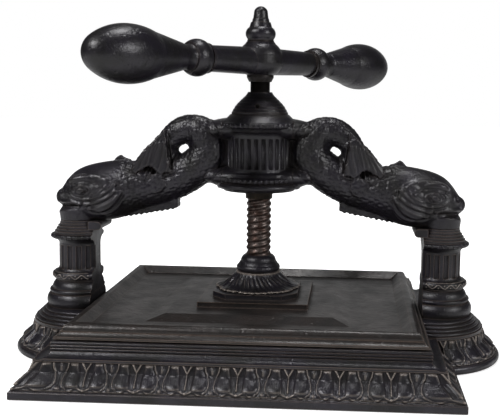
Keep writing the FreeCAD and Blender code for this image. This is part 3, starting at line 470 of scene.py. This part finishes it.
def ring_relief(name, radii, levels, around, pattern, body, material, out=0, arc=None):
    """A closed band of relief round a turned piece whose axis stands out along X. The radii at the
    levels are the piece's own, in millimetres, the pattern gives the relief from the angle and the
    share of the height, and the arc is the first and the last angle, or None all the way round."""
    sunk, thick = 0.25, 1.6
    angle = np.linspace(*(arc or (0, 2 * math.pi)), around, endpoint=arc is not None)
    turn, rise = np.meshgrid(angle, np.linspace(0, 1, len(levels)))
    level, piece = (np.repeat(np.array(values, float)[:, None], around, 1)
                    for values in (levels, radii))
    points = []
    for radius in (piece - sunk + pattern(turn, rise), piece - thick):
        points += np.stack((out + radius * np.cos(turn), radius * np.sin(turn), level),
                           -1).reshape(-1, 3).tolist()
    rows, count = len(levels), len(levels) * around
    faces = grid_faces(rows, around, arc is None)
    faces += [tuple(count + v for v in reversed(face)) for face in faces]
    top, last = count - around, around - 1
    for column in range(last if arc else around):
        following = (column + 1) % around
        faces += [(column, count + column, count + following, following),
                  (top + following, count + top + following, count + top + column, top + column)]
    if arc:
        for low in range(0, top, around):
            high = low + around
            faces += [(low, high, count + high, count + low),
                      (high + last, low + last, count + low + last, count + high + last)]
    made = mesh_object(name, points, faces, material)
    face_outwards(made)
    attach(made, body)


def socket_leaf(turn, rise):
    """Eight drooping leaves with ribs and veins, curled outwards at the foot."""
    swayed = 4 * (turn + 0.22 * np.sin(3 * turn + 1.0) * rise)
    wave = np.abs(np.cos(swayed))
    blade = 3.4 * wave ** 0.5 * smooth(rise, 0.0, 0.2) * (1 - 0.8 * smooth(rise, 0.6, 1.0))
    rib = 0.8 * np.exp(-(np.sin(swayed) / 0.12) ** 2)
    veins = 0.55 * np.cos(40 * turn + 14 * rise) * (1 - smooth(rise, 0.7, 1.0))
    curl = 2.0 * np.exp(-((rise - 0.14 - 0.1 * wave) / 0.09) ** 2) * wave
    return 0.3 + blade + rib * (1 - rise) + veins + curl


def ring_scroll(turn, rise):
    """A running scroll between two edge beads."""
    wave = np.sin(14 * turn)
    stem = np.exp(-((rise - 0.5 - 0.26 * wave) / 0.1) ** 2)
    eye = np.exp(-((np.cos(14 * turn) / 0.35) ** 2 + ((rise - 0.5 + 0.16 * wave) / 0.13) ** 2))
    edge = np.exp(-((rise - 0.03) / 0.05) ** 2) + np.exp(-((rise - 0.97) / 0.05) ** 2)
    return 1.1 * np.maximum(np.maximum(stem, eye), 0.7 * edge)


class PRESS_OT_leaves(bpy.types.Operator):
    """Carve the leaves round the screw's socket and the scrolls round the columns' rings"""
    bl_idname = "press.leaves"
    bl_label = "Leaves"

    def execute(self, context):
        iron = finish("Rubbed carved iron with painted crest highlight")
        # the bell's hollow flare, an arc from its foot to under the collar
        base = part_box("screw_socket")[0].z / MM + 5.0
        bell_up = (0.1, 0.7, 1.3, 1.9, 2.6, 3.3, 4.1, 5.0, 6.0, 7.1, 8.3, 9.6, 11.0, 12.5, 14.0,
                   15.6)
        bell_out = [40.0 - math.sqrt(max(20.72 ** 2 - (21.9 - up) ** 2, 0)) if up > 1.2 else 36.0
                    for up in bell_up]
        ring_relief("socket_leaves", bell_out, [base + up for up in bell_up], 384, socket_leaf,
                    "platen", iron)
        # the collar's smooth dome
        dome_up = np.linspace(15.6, 28.6, 20)
        dome_out = np.interp(dome_up, (15.6, 17, 19, 21, 23, 25, 27, 28.6),
                             (19.0, 19.75, 19.95, 19.7, 18.95, 17.7, 15.7, 13.6))
        ring_relief("socket_dome", dome_out, base + dome_up, 96,
                    lambda turn, rise: np.full(turn.shape, 0.25), "platen",
                    finish("Blackened cast iron"))
        # the columns' rings, which swell as an arc, carved where they face outwards
        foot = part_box("left_column")[0].z / MM
        ring_up = np.linspace(13.2, 20.4, 17)
        ring_out = [21.85 + math.sqrt(4.25 ** 2 - (up - 16.75) ** 2) for up in ring_up]
        half_arc = 2.15
        for side, sign, middle in (("left", -1, math.pi), ("right", 1, 0)):
            ring_relief(side + "_scrolls", ring_out, foot + ring_up, 200, ring_scroll, "frame",
                        iron, sign * COLUMN_OUT / MM, (middle - half_arc, middle + half_arc))
        return {"FINISHED"}


def pearl_at(name, radius, reach):
    """A pearl that stands in front of an axis at a reach from it."""
    pearl = bpy.data.objects.new(name, bpy.data.meshes.new(name))
    bpy.context.scene.collection.objects.link(pearl)
    work = bmesh.new()
    bmesh.ops.create_uvsphere(work, u_segments=10, v_segments=7, radius=radius)
    bmesh.ops.translate(work, verts=work.verts, vec=(0, -reach, 0))
    work.to_mesh(pearl.data)
    work.free()
    pearl.data.shade_smooth()
    return pearl


class PRESS_OT_pearls(bpy.types.Operator):
    """Set the pearls on the capitals and on the hub's rings"""
    bl_idname = "press.pearls"
    bl_label = "Pearls"

    def execute(self, context):
        rows = []
        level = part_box("left_column")[0].z + 0.0548
        pearl = pearl_at("pearl", sizes().pearl_radius, 0.0258)
        step = math.radians(11.2)
        for sign in (1, -1):
            rows.append(row(pearl, 23, (sign * COLUMN_OUT, 0, level), (0, 0, 0),
                            math.pi / 2 * sign - 11 * step, step))
        hub_pearl = pearl_at("hub_pearl", 0.0024, 0.0370)
        for level in (0.2193, 0.1681):
            rows.append(row(hub_pearl, 46, (0, 0, level), (0, 0, 0), 0, math.tau / 46))
        repeated("pearls", rows, finish("Blackened cast iron"), "frame")
        return {"FINISHED"}


# Dolphins. Points are millimetres out from the screw's axis and up from the floor, on the flank.

SPINE = ((194.5, 146), (180, 149), (150, 152.5), (133, 155.5), (115, 158.5), (98, 160),
         (80, 166.5), (60, 179), (48, 195), (52, 207), (63, 213.8), (76, 212.3), (88, 201.3),
         (100, 189.5))
MOUTH = ((196, 136.5), (189.0, 138.6), (182.0, 139.4), (174.0, 139.8), (168.5, 138.8))
UPPER_LIP = ((197, 143.5), (188.5, 142.6), (181.0, 143.0), (173.0, 143.0), (166.0, 140.0))
BROW = ((186.5, 158.0), (180.5, 163.8), (171.0, 167.2), (157.0, 168.4), (145.0, 166.6),
        (137.5, 162.5))
UNDER_BROW = ((182.0, 157.5), (174.5, 162.0), (164.0, 163.6), (153.0, 161.5), (144.0, 156.5))
EYE_BAG = ((181.5, 151.5), (173.5, 147.5), (163.5, 147.0), (153.5, 150.0), (146.0, 155.0))
GILL = ((165.5, 141.0), (160.5, 135.4), (149.0, 134.4), (138.5, 138.6), (131.2, 146.6),
        (127.5, 156.0), (133.0, 157.2), (132.5, 162.5))
STREAKS = (((166.0, 136.5), (150.0, 139.5), (138.0, 145.5), (130.5, 153.0)),
           ((165.0, 141.0), (150.0, 145.0), (139.0, 151.0), (132.5, 157.5)),
           ((163.0, 145.0), (151.0, 149.0), (141.5, 155.5), (135.5, 163.0)),
           ((157.5, 150.0), (149.0, 154.5), (142.5, 160.5)))
FLUKE = ((78.5, 173.0), (86.6, 169.4), (94.8, 173.2), (99.2, 177.2), (101.2, 170.5),
         (106.9, 164.8), (114.2, 169.4), (117.2, 172.3), (127.5, 176.5))
RIBS = (((83.0, 203.5), (79.2, 191.0), (79.5, 174.5)),
        ((85.5, 204.0), (84.2, 190.0), (86.4, 170.5)),
        ((88.4, 204.0), (89.5, 191.0), (93.6, 175.0)),
        ((91.5, 203.6), (95.5, 192.0), (98.8, 179.5)),
        ((95.0, 203.0), (99.4, 186.0), (102.5, 170.5)),
        ((98.0, 202.5), (104.0, 184.0), (107.0, 166.5)),
        ((101.5, 200.0), (108.5, 184.0), (113.5, 170.5)),
        ((105.5, 196.0), (112.5, 184.0), (119.0, 174.5)))
COIL = (73.5, 195.5)
COIL_RADIUS = 39.4


def curve_points(line, count=60):
    """Points along a smooth curve through the given ones, and their share of its length."""
    line = np.array(line, float)
    steps = np.r_[0, np.cumsum(np.hypot(*np.diff(line, axis=0).T))]
    along = np.linspace(0, steps[-1], count)
    tangent = np.gradient(line, steps, axis=0)
    place = np.clip(np.searchsorted(steps, along, side="right") - 1, 0, len(line) - 2)
    width = (steps[place + 1] - steps[place])[:, None]
    share = ((along - steps[place])[:, None]) / width
    curve = ((2 * share ** 3 - 3 * share ** 2 + 1) * line[place]
             + (share ** 3 - 2 * share ** 2 + share) * width * tangent[place]
             + (3 * share ** 2 - 2 * share ** 3) * line[place + 1]
             + (share ** 3 - share ** 2) * width * tangent[place + 1])
    return curve, along


def beside_curve(out, up, line, count=60):
    """Distance of each point from a curve, how far along it, and on which side it lies."""
    curve, along = curve_points(line, count)
    best = np.full(out.shape, 1e9)
    where = np.zeros(out.shape)
    side = np.zeros(out.shape)
    for first, second, start, stop in zip(curve[:-1], curve[1:], along[:-1], along[1:]):
        run = second - first
        length = max(np.hypot(*run), 1e-6)
        share = np.clip(((out - first[0]) * run[0] + (up - first[1]) * run[1]) / length ** 2, 0, 1)
        off_out = out - first[0] - share * run[0]
        off_up = up - first[1] - share * run[1]
        distance = np.hypot(off_out, off_up)
        nearer = distance < best
        best = np.where(nearer, distance, best)
        where = np.where(nearer, start + share * (stop - start), where)
        side = np.where(nearer, np.sign(run[0] * off_up - run[1] * off_out), side)
    return best, where, side


def ridge(out, up, line, width, height):
    """A ridge along a curve, or a groove where the height is negative, that fades at its ends."""
    distance, along, _ = beside_curve(out, up, line)
    reach = along.max()
    ends = smooth(along, 0, 0.12 * reach) * smooth(reach - along, 0, 0.12 * reach)
    return height * np.exp(-(distance / width) ** 2) * (0.25 + 0.75 * ends)


def inside_outline(out, up, outline):
    """True where a point lies within a closed outline."""
    inside = np.zeros(out.shape, bool)
    last = outline[-1]
    for spot in outline:
        crosses = (spot[1] > up) != (last[1] > up)
        with np.errstate(divide="ignore", invalid="ignore"):
            edge = (last[0] - spot[0]) * (up - spot[1]) / (last[1] - spot[1] + 1e-12) + spot[0]
        inside ^= crosses & (out < edge)
        last = spot
    return inside


def head_carving(out, up, flank):
    """Eye, lids, brow, lips, mouth, cheek feathers and gill of a dolphin's head."""
    work = np.zeros(out.shape)
    across, rise = (out - 167.0) / 8.2, (up - 154.9) / 4.3
    ring = np.hypot(across, rise)
    work += 1.5 * np.exp(-((ring - 1.0) / 0.20) ** 2)
    work -= 1.1 * np.exp(-((ring - 0.70) / 0.16) ** 2)
    ball = np.hypot((out - 167.5) / 4.0, (up - 154.9) / 2.7)
    work += 1.5 * np.sqrt(np.clip(1 - ball ** 2, 0, 1)) - 0.7 * np.exp(-(ball / 0.3) ** 2)
    work += ridge(out, up, BROW, 3.2, 2.0)
    work += ridge(out, up, UNDER_BROW, 1.1, -1.3)
    work += ridge(out, up, EYE_BAG, 1.2, 1.0)
    work += ridge(out, up, [(a, b - 2.6) for a, b in EYE_BAG], 1.0, -0.9)
    work += ridge(out, up, MOUTH, 1.3, -3.4)
    work += ridge(out, up, UPPER_LIP, 1.7, 1.6)
    work += ridge(out, up, [(a, b - 4.6) for a, b in MOUTH], 1.6, 1.2)
    nostril = np.hypot(out - 190.0, up - 152.5)
    work -= 1.6 * np.exp(-(nostril / 1.5) ** 2)
    work += 0.9 * np.exp(-((nostril - 3.0) / 1.0) ** 2)
    for streak in STREAKS:
        work += ridge(out, up, streak, 1.35, 1.0)
        work += ridge(out, up, [(a + 0.6, b + 2.4) for a, b in streak], 1.0, -0.95)
    distance, _, _ = beside_curve(out, up, GILL)
    within = inside_outline(out, up, GILL + ((150, 160), (165, 150)))
    step = np.where(within, 1, -1) * distance
    work += 1.5 * smooth(step, -0.5, 1.6) * smooth(-step, -9, -2)
    work -= 1.3 * np.exp(-((step + 1.2) / 1.0) ** 2)
    return work * flank * smooth(out, 122, 128)


def scale_carving(out, up, back, flank):
    """Rows of rounded scales along the body and round the coil."""
    distance, along, side = beside_curve(out, up, SPINE, 120)
    signed = distance * side
    girth = np.hypot(signed, back)
    round_way = np.arctan2(signed, np.abs(back) + 1e-6) * np.clip(girth, 8, 22)
    pitch_long, pitch_round = 5.0, 5.4
    lines = along / pitch_long
    best = np.zeros(out.shape)
    for offset in (-1, 0, 1):
        line = np.floor(lines) + offset
        shift = (line % 2) * 0.5
        cell = round_way / pitch_round - shift
        over = (cell - np.round(cell)) * pitch_round
        ahead = (lines - line - 0.35) * pitch_long
        radius = np.hypot(over / 2.9, ahead / 3.4)
        best = np.maximum(best, np.sqrt(np.clip(1 - radius ** 2, 0, 1)) * (1 + 0.12 * ahead))
    clear = smooth(along, 60, 72) * (1 - smooth(along, 236, 246))
    worn = 0.75 + 0.25 * np.sin(0.37 * out + 0.21 * up) * np.sin(0.43 * up - 0.17 * out)
    worn *= 1 - 0.35 * smooth(along, 150, 175)
    # the coil stands out from the hub's shoulders, with a groove round it
    ring = np.hypot(out - COIL[0], up - COIL[1]) - COIL_RADIUS
    beside = (1 - smooth(out, 60, 68)) * smooth(up, 160, 170)
    coil = 1.6 * smooth(-ring, 0, 4) - 1.1 * np.exp(-((ring - 0.8) / 0.9) ** 2)
    rough = 0.16 * np.sin(1.3 * out + 0.9 * up) * np.sin(1.1 * up - 0.7 * out)
    within = 1 - beside * smooth(ring, -1, 0)
    return ((0.95 * best - 0.45) * worn + rough) * clear * within + coil * beside * flank


def tail_carving(out, up, flank):
    """The fluke: a thin fan with ribs and a scalloped edge lying on the flank."""
    outline = FLUKE + ((126, 181), (118, 186), (109.5, 193), (101.3, 203.5), (92, 209), (83, 204),
                       (78.5, 192))
    within = inside_outline(out, up, outline)
    edge, _, _ = beside_curve(out, up, FLUKE)
    step = np.where(within, edge, -edge)
    near = np.exp(-(np.minimum(edge, 30) / 26) ** 2)
    work = 1.5 * smooth(step, -0.4, 1.0) * within
    work -= 1.1 * np.exp(-((step + 1.0) / 1.1) ** 2) * near
    for rib in RIBS:
        work += ridge(out, up, rib, 0.95, 1.5) * within
    # clear of the hole, and filled where two scallops meet
    work *= smooth(np.hypot(out - COIL[0], up - COIL[1]), 7, 11)
    work += 2.2 * np.exp(-(np.hypot(out - 110.5, (up - 168.5) * 1.3) / 5.5) ** 2)
    return work * flank, within * smooth(step, -0.5, 0.5) * flank


def carve_arch(mesh):
    """Move the points of the arch's skin along its normals to carve the two dolphins."""
    count = len(mesh.vertices)
    spots = np.empty(count * 3)
    mesh.vertices.foreach_get("co", spots)
    spots = spots.reshape(-1, 3)
    normals = np.empty(count * 3)
    mesh.vertex_normals.foreach_get("vector", normals)
    normals = normals.reshape(-1, 3)
    out, back, up = np.abs(spots[:, 0]) / MM, spots[:, 1] / MM, spots[:, 2] / MM
    flank = smooth(np.abs(normals[:, 1]), 0.25, 0.6)
    tail, covered = tail_carving(out, up, flank)
    body = scale_carving(out, up, back, flank) * (1 - covered)
    head = head_carving(out, up, flank)
    move = (body + tail + head) * smooth(out, 34.2, 36.5)
    spots += normals * (move * MM)[:, None]
    mesh.vertices.foreach_set("co", spots.ravel())
    mesh.update()


def part_of(mesh, name, low, high):
    """The part of a closed mesh between two planes across X, closed again."""
    work = bmesh.new()
    work.from_mesh(mesh)
    bmesh.ops.remove_doubles(work, verts=work.verts, dist=1e-6)
    for place, way in ((low, -1), (high, 1)):
        if place is None:
            continue
        everything = work.verts[:] + work.edges[:] + work.faces[:]
        bmesh.ops.bisect_plane(work, geom=everything, dist=1e-7, plane_co=(place, 0, 0),
                               plane_no=(way, 0, 0), clear_outer=True)
        rim = [edge for edge in work.edges if edge.is_boundary]
        bmesh.ops.triangle_fill(work, edges=rim, use_beauty=True, normal=(way, 0, 0))
    bmesh.ops.recalc_face_normals(work, faces=work.faces)
    piece = bpy.data.meshes.new(name)
    work.to_mesh(piece)
    work.free()
    return piece


class PRESS_OT_dolphins(bpy.types.Operator):
    """Carve the two dolphins of the arch, and keep the hub between them crisp"""
    bl_idname = "press.dolphins"
    bl_label = "Dolphins"

    def execute(self, context):
        whole = part_of(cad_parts["arch"].data, "arch_skin", None, None)
        skin = bpy.data.objects.new("arch_skin", whole)
        context.scene.collection.objects.link(skin)
        remesh = skin.modifiers.new("Skin", "REMESH")
        remesh.mode = "VOXEL"
        remesh.voxel_size = sizes().carve_size
        plain_mesh(skin, "arch_skin")
        carve_arch(skin.data)
        # the coils begin just outside the hub's shoulders
        split = 0.0338
        for name, mesh, low, high in (("left_dolphin", skin.data, None, -split),
                                      ("right_dolphin", skin.data, split, None),
                                      ("hub", whole, -split, split)):
            made = bpy.data.objects.new(name, part_of(mesh, name, low, high))
            context.scene.collection.objects.link(made)
            made.data.materials.append(finish("Carved cast iron"))
            made.data.shade_smooth()
            if name == "hub":
                made.data.set_sharp_from_angle(angle=math.radians(35))
            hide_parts("arch")
            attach(made, "frame")
        bpy.data.objects.remove(skin)
        return {"FINISHED"}


class PRESS_OT_screw(bpy.types.Operator):
    """Cut the two-start thread on the screw"""
    bl_idname = "press.screw"
    bl_label = "Screw"

    def execute(self, context):
        low, high = (corner.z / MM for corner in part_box("screw"))
        foot_top, thread_top, boss, tang_top = low + 6.0, 228.0, 267.0, 298.0
        foot, crest, root, journal, half_tang, stud, tip = 16.0, 11.95, 10.7, 9.3, 6.5, 6.0, 0.001
        pitch = sizes().thread_pitch / MM
        starts = sizes().thread_starts
        around, rise = 48, 0.55
        angle = np.linspace(0, 2 * math.pi, around, endpoint=False)
        square = half_tang / np.maximum(np.abs(np.cos(angle)), np.abs(np.sin(angle)))
        rings = [(low, tip), (low, foot), (foot_top, foot)]
        for level in np.arange(foot_top + 0.02, thread_top, rise):
            phase = (level / pitch - starts * angle / (2 * math.pi)) % 1.0
            depth = smooth(np.abs(phase - 0.5), 0.06, 0.42)
            fade = (smooth(level, foot_top + 1, foot_top + 6)
                    * smooth(-level, -thread_top, -thread_top + 2))
            rings.append((level, crest - (crest - root) * depth * fade))
        rings += [(thread_top, crest), (thread_top, journal), (boss, journal), (boss, square),
                  (tang_top, square), (tang_top, stud), (high, stud), (high, tip)]
        points = []
        for level, radii in rings:
            points.extend(zip(radii * np.cos(angle), radii * np.sin(angle),
                              np.full(around, level)))
        made = mesh_object("threaded_screw", points, grid_faces(len(rings), around, True),
                           finish("Rusted screw steel"))
        face_outwards(made)
        # above the thread the shank is as black as the castings
        made.data.materials.append(finish("Darkened steel"))
        for face in made.data.polygons:
            face.material_index = 1 if face.center.z / MM > thread_top else 0
        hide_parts("screw")
        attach(made, "screw")
        return {"FINISHED"}


class PRESS_OT_finishes(bpy.types.Operator):
    """Give every carried node its finish"""
    bl_idname = "press.finishes"
    bl_label = "Finishes"

    def execute(self, context):
        by_node = {
            "Blackened cast iron": ("bed", "left_column", "right_column", "arch", "screw_socket"),
            "Hand-polished cast iron": ("handle", "left_grip", "right_grip", "finial_nut",
                                        "bell_collar"),
            "Rubbed flat iron": ("platen",),
            "Rusted screw steel": ("screw",),
            "Darkened steel": ("boss_ring", "column_bolts", "column_bolt_washers",
                               "bush_set_screw", "socket_screws", "bell_pin", "grip_studs",
                               "finial_washer"),
            "Tarnished gunmetal": ("nut_bush", "thrust_washer"),
        }
        for name, nodes in by_node.items():
            for node in nodes:
                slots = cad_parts[node].data.materials
                slots.clear()
                slots.append(finish(name))
        return {"FINISHED"}


class PRESS_OT_stage(bpy.types.Operator):
    """Set the floor, the lights, the world and the camera"""
    bl_idname = "press.stage"
    bl_label = "Stage"

    def execute(self, context):
        scene = context.scene
        scene.view_settings.view_transform = "Standard"
        wide, below = 6000, -0.5
        floor = mesh_object("floor", [(-wide, -wide, below), (wide, -wide, below),
                                      (wide, wide, below), (-wide, wide, below)],
                            [(0, 1, 2, 3)], None)
        paper = bpy.data.materials.new("Studio paper")
        paper.use_nodes = True
        tree = paper.node_tree
        shader = tree.nodes["Principled BSDF"]
        shader.inputs["Base Color"].default_value = linear(colours().floor)
        shader.inputs["Roughness"].default_value = 0.9
        # a camera ray sees the lit paper brighter, most of all away from the press, so that it
        # clears to white and keeps the shadow
        seen = add_node(tree, "ShaderNodeLightPath").outputs["Is Camera Ray"]
        where = add_node(tree, "ShaderNodeTexCoord").outputs["Object"]
        away = add_node(tree, "ShaderNodeVectorMath", {0: where}, operation="LENGTH")
        rise = add_node(tree, "ShaderNodeMapRange", {"Value": away.outputs["Value"]},
                        {"From Min": 0.24, "From Max": 0.42, "To Min": 0.62, "To Max": 1.0})
        lift = add_node(tree, "ShaderNodeMath", {0: seen, 1: rise.outputs[0]},
                        operation="MULTIPLY")
        tree.links.new(lift.outputs[0], shader.inputs["Emission Strength"])
        shader.inputs["Emission Color"].default_value = (1, 1, 1, 1)
        floor.data.materials.append(paper)
        world = bpy.data.worlds.new("Studio")
        scene.world = world
        world.use_nodes = True
        sky = world.node_tree
        back = sky.nodes["Background"]
        path = add_node(sky, "ShaderNodeLightPath")
        straight = add_node(sky, "ShaderNodeMath", {0: path.outputs["Is Camera Ray"],
                                                    1: path.outputs["Is Transmission Ray"]},
                            operation="MAXIMUM")
        # iron mirrors a white backdrop low behind the press and a dim room elsewhere
        toward = add_node(sky, "ShaderNodeTexCoord").outputs["Generated"]
        ahead = add_node(sky, "ShaderNodeSeparateXYZ", {"Vector": toward})
        backdrop = add_node(sky, "ShaderNodeMapRange", {"Value": ahead.outputs["Y"]},
                            {"From Min": 0.78, "From Max": 0.97, "To Min": 0.05, "To Max": 0.42})
        mirrored = add_node(sky, "ShaderNodeMath", {0: path.outputs["Is Glossy Ray"],
                                                    1: backdrop.outputs[0]},
                            operation="MULTIPLY")
        soft = add_node(sky, "ShaderNodeMath", {0: path.outputs["Is Diffuse Ray"]}, {1: 0.13},
                        operation="MULTIPLY")
        both = add_node(sky, "ShaderNodeMath", {0: straight.outputs[0], 1: mirrored.outputs[0]},
                        operation="ADD")
        level = add_node(sky, "ShaderNodeMath", {0: both.outputs[0], 1: soft.outputs[0]},
                         operation="ADD")
        back.inputs["Color"].default_value = (1, 1, 1, 1)
        sky.links.new(level.outputs[0], back.inputs["Strength"])
        for name, spot, aim, wide, power in (
                ("key", (-0.9, -0.9, 1.2), (0, 0, 0.15), 0.4, 19),
                ("fill", (1.3, -0.8, 0.8), (0, 0, 0.15), 0.35, 11),
                ("top", (0.1, 0.15, 1.7), (0, 0, 0.2), 0.4, 10)):
            lamp = bpy.data.lights.new(name, "AREA")
            lamp.size = wide
            lamp.energy = power
            holder = bpy.data.objects.new(name, lamp)
            scene.collection.objects.link(holder)
            holder.location = spot
            way = Vector(aim) - Vector(spot)
            holder.rotation_euler = way.to_track_quat("-Z", "Y").to_euler()
        # the camera as it was fitted to the photo: turn, focal length of 855 pixels, and shift
        yaw, pitch, roll = (math.radians(angle) for angle in (-2.39, 5.85, 0.98))
        right = Vector((math.cos(yaw), -math.sin(yaw), 0))
        up = Vector((math.sin(yaw) * math.sin(pitch), math.cos(yaw) * math.sin(pitch),
                     math.cos(pitch)))
        side = right * math.cos(roll) + up * math.sin(roll)
        top = up * math.cos(roll) - right * math.sin(roll)
        lens = bpy.data.cameras.new("camera")
        lens.sensor_width = 36
        lens.lens = 855.0 / 500 * lens.sensor_width
        lens.shift_x = -0.1306
        lens.shift_y = -0.0584
        eye = bpy.data.objects.new("camera", lens)
        scene.collection.objects.link(eye)
        turn = Matrix((side, top, side.cross(top))).transposed().to_4x4()
        eye.matrix_world = Matrix.Translation((0.0884, -0.8188, 0.2511)) @ turn
        scene.camera = eye
        return {"FINISHED"}


class PRESS_PT_dressing(bpy.types.Panel):
    """Shows the press's sizes, colours and steps in the sidebar"""
    bl_idname = "PRESS_PT_dressing"
    bl_label = "Copying press"
    bl_space_type = "VIEW_3D"
    bl_region_type = "UI"
    bl_category = "Press"

    def draw(self, context):
        for group in (context.scene.press_sizes, context.scene.press_colours):
            for name in group.__annotations__:
                self.layout.prop(group, name)
        for step in STEPS:
            self.layout.operator(step.bl_idname)


STEPS = (PRESS_OT_finishes, PRESS_OT_skirt_eggs, PRESS_OT_leaves, PRESS_OT_pearls,
         PRESS_OT_dolphins, PRESS_OT_screw, PRESS_OT_stage)
CLASSES = (PressSizes, PressColours) + STEPS + (PRESS_PT_dressing,)


def register():
    for one in CLASSES:
        bpy.utils.register_class(one)
    bpy.types.Scene.press_sizes = PointerProperty(type=PressSizes)
    bpy.types.Scene.press_colours = PointerProperty(type=PressColours)


def unregister():
    del bpy.types.Scene.press_sizes
    del bpy.types.Scene.press_colours
    for one in reversed(CLASSES):
        bpy.utils.unregister_class(one)


def main():
    register()
    for step in STEPS:
        group, name = step.bl_idname.split(".")
        getattr(getattr(bpy.ops, group), name)()


if __name__ == "__main__":
    main()
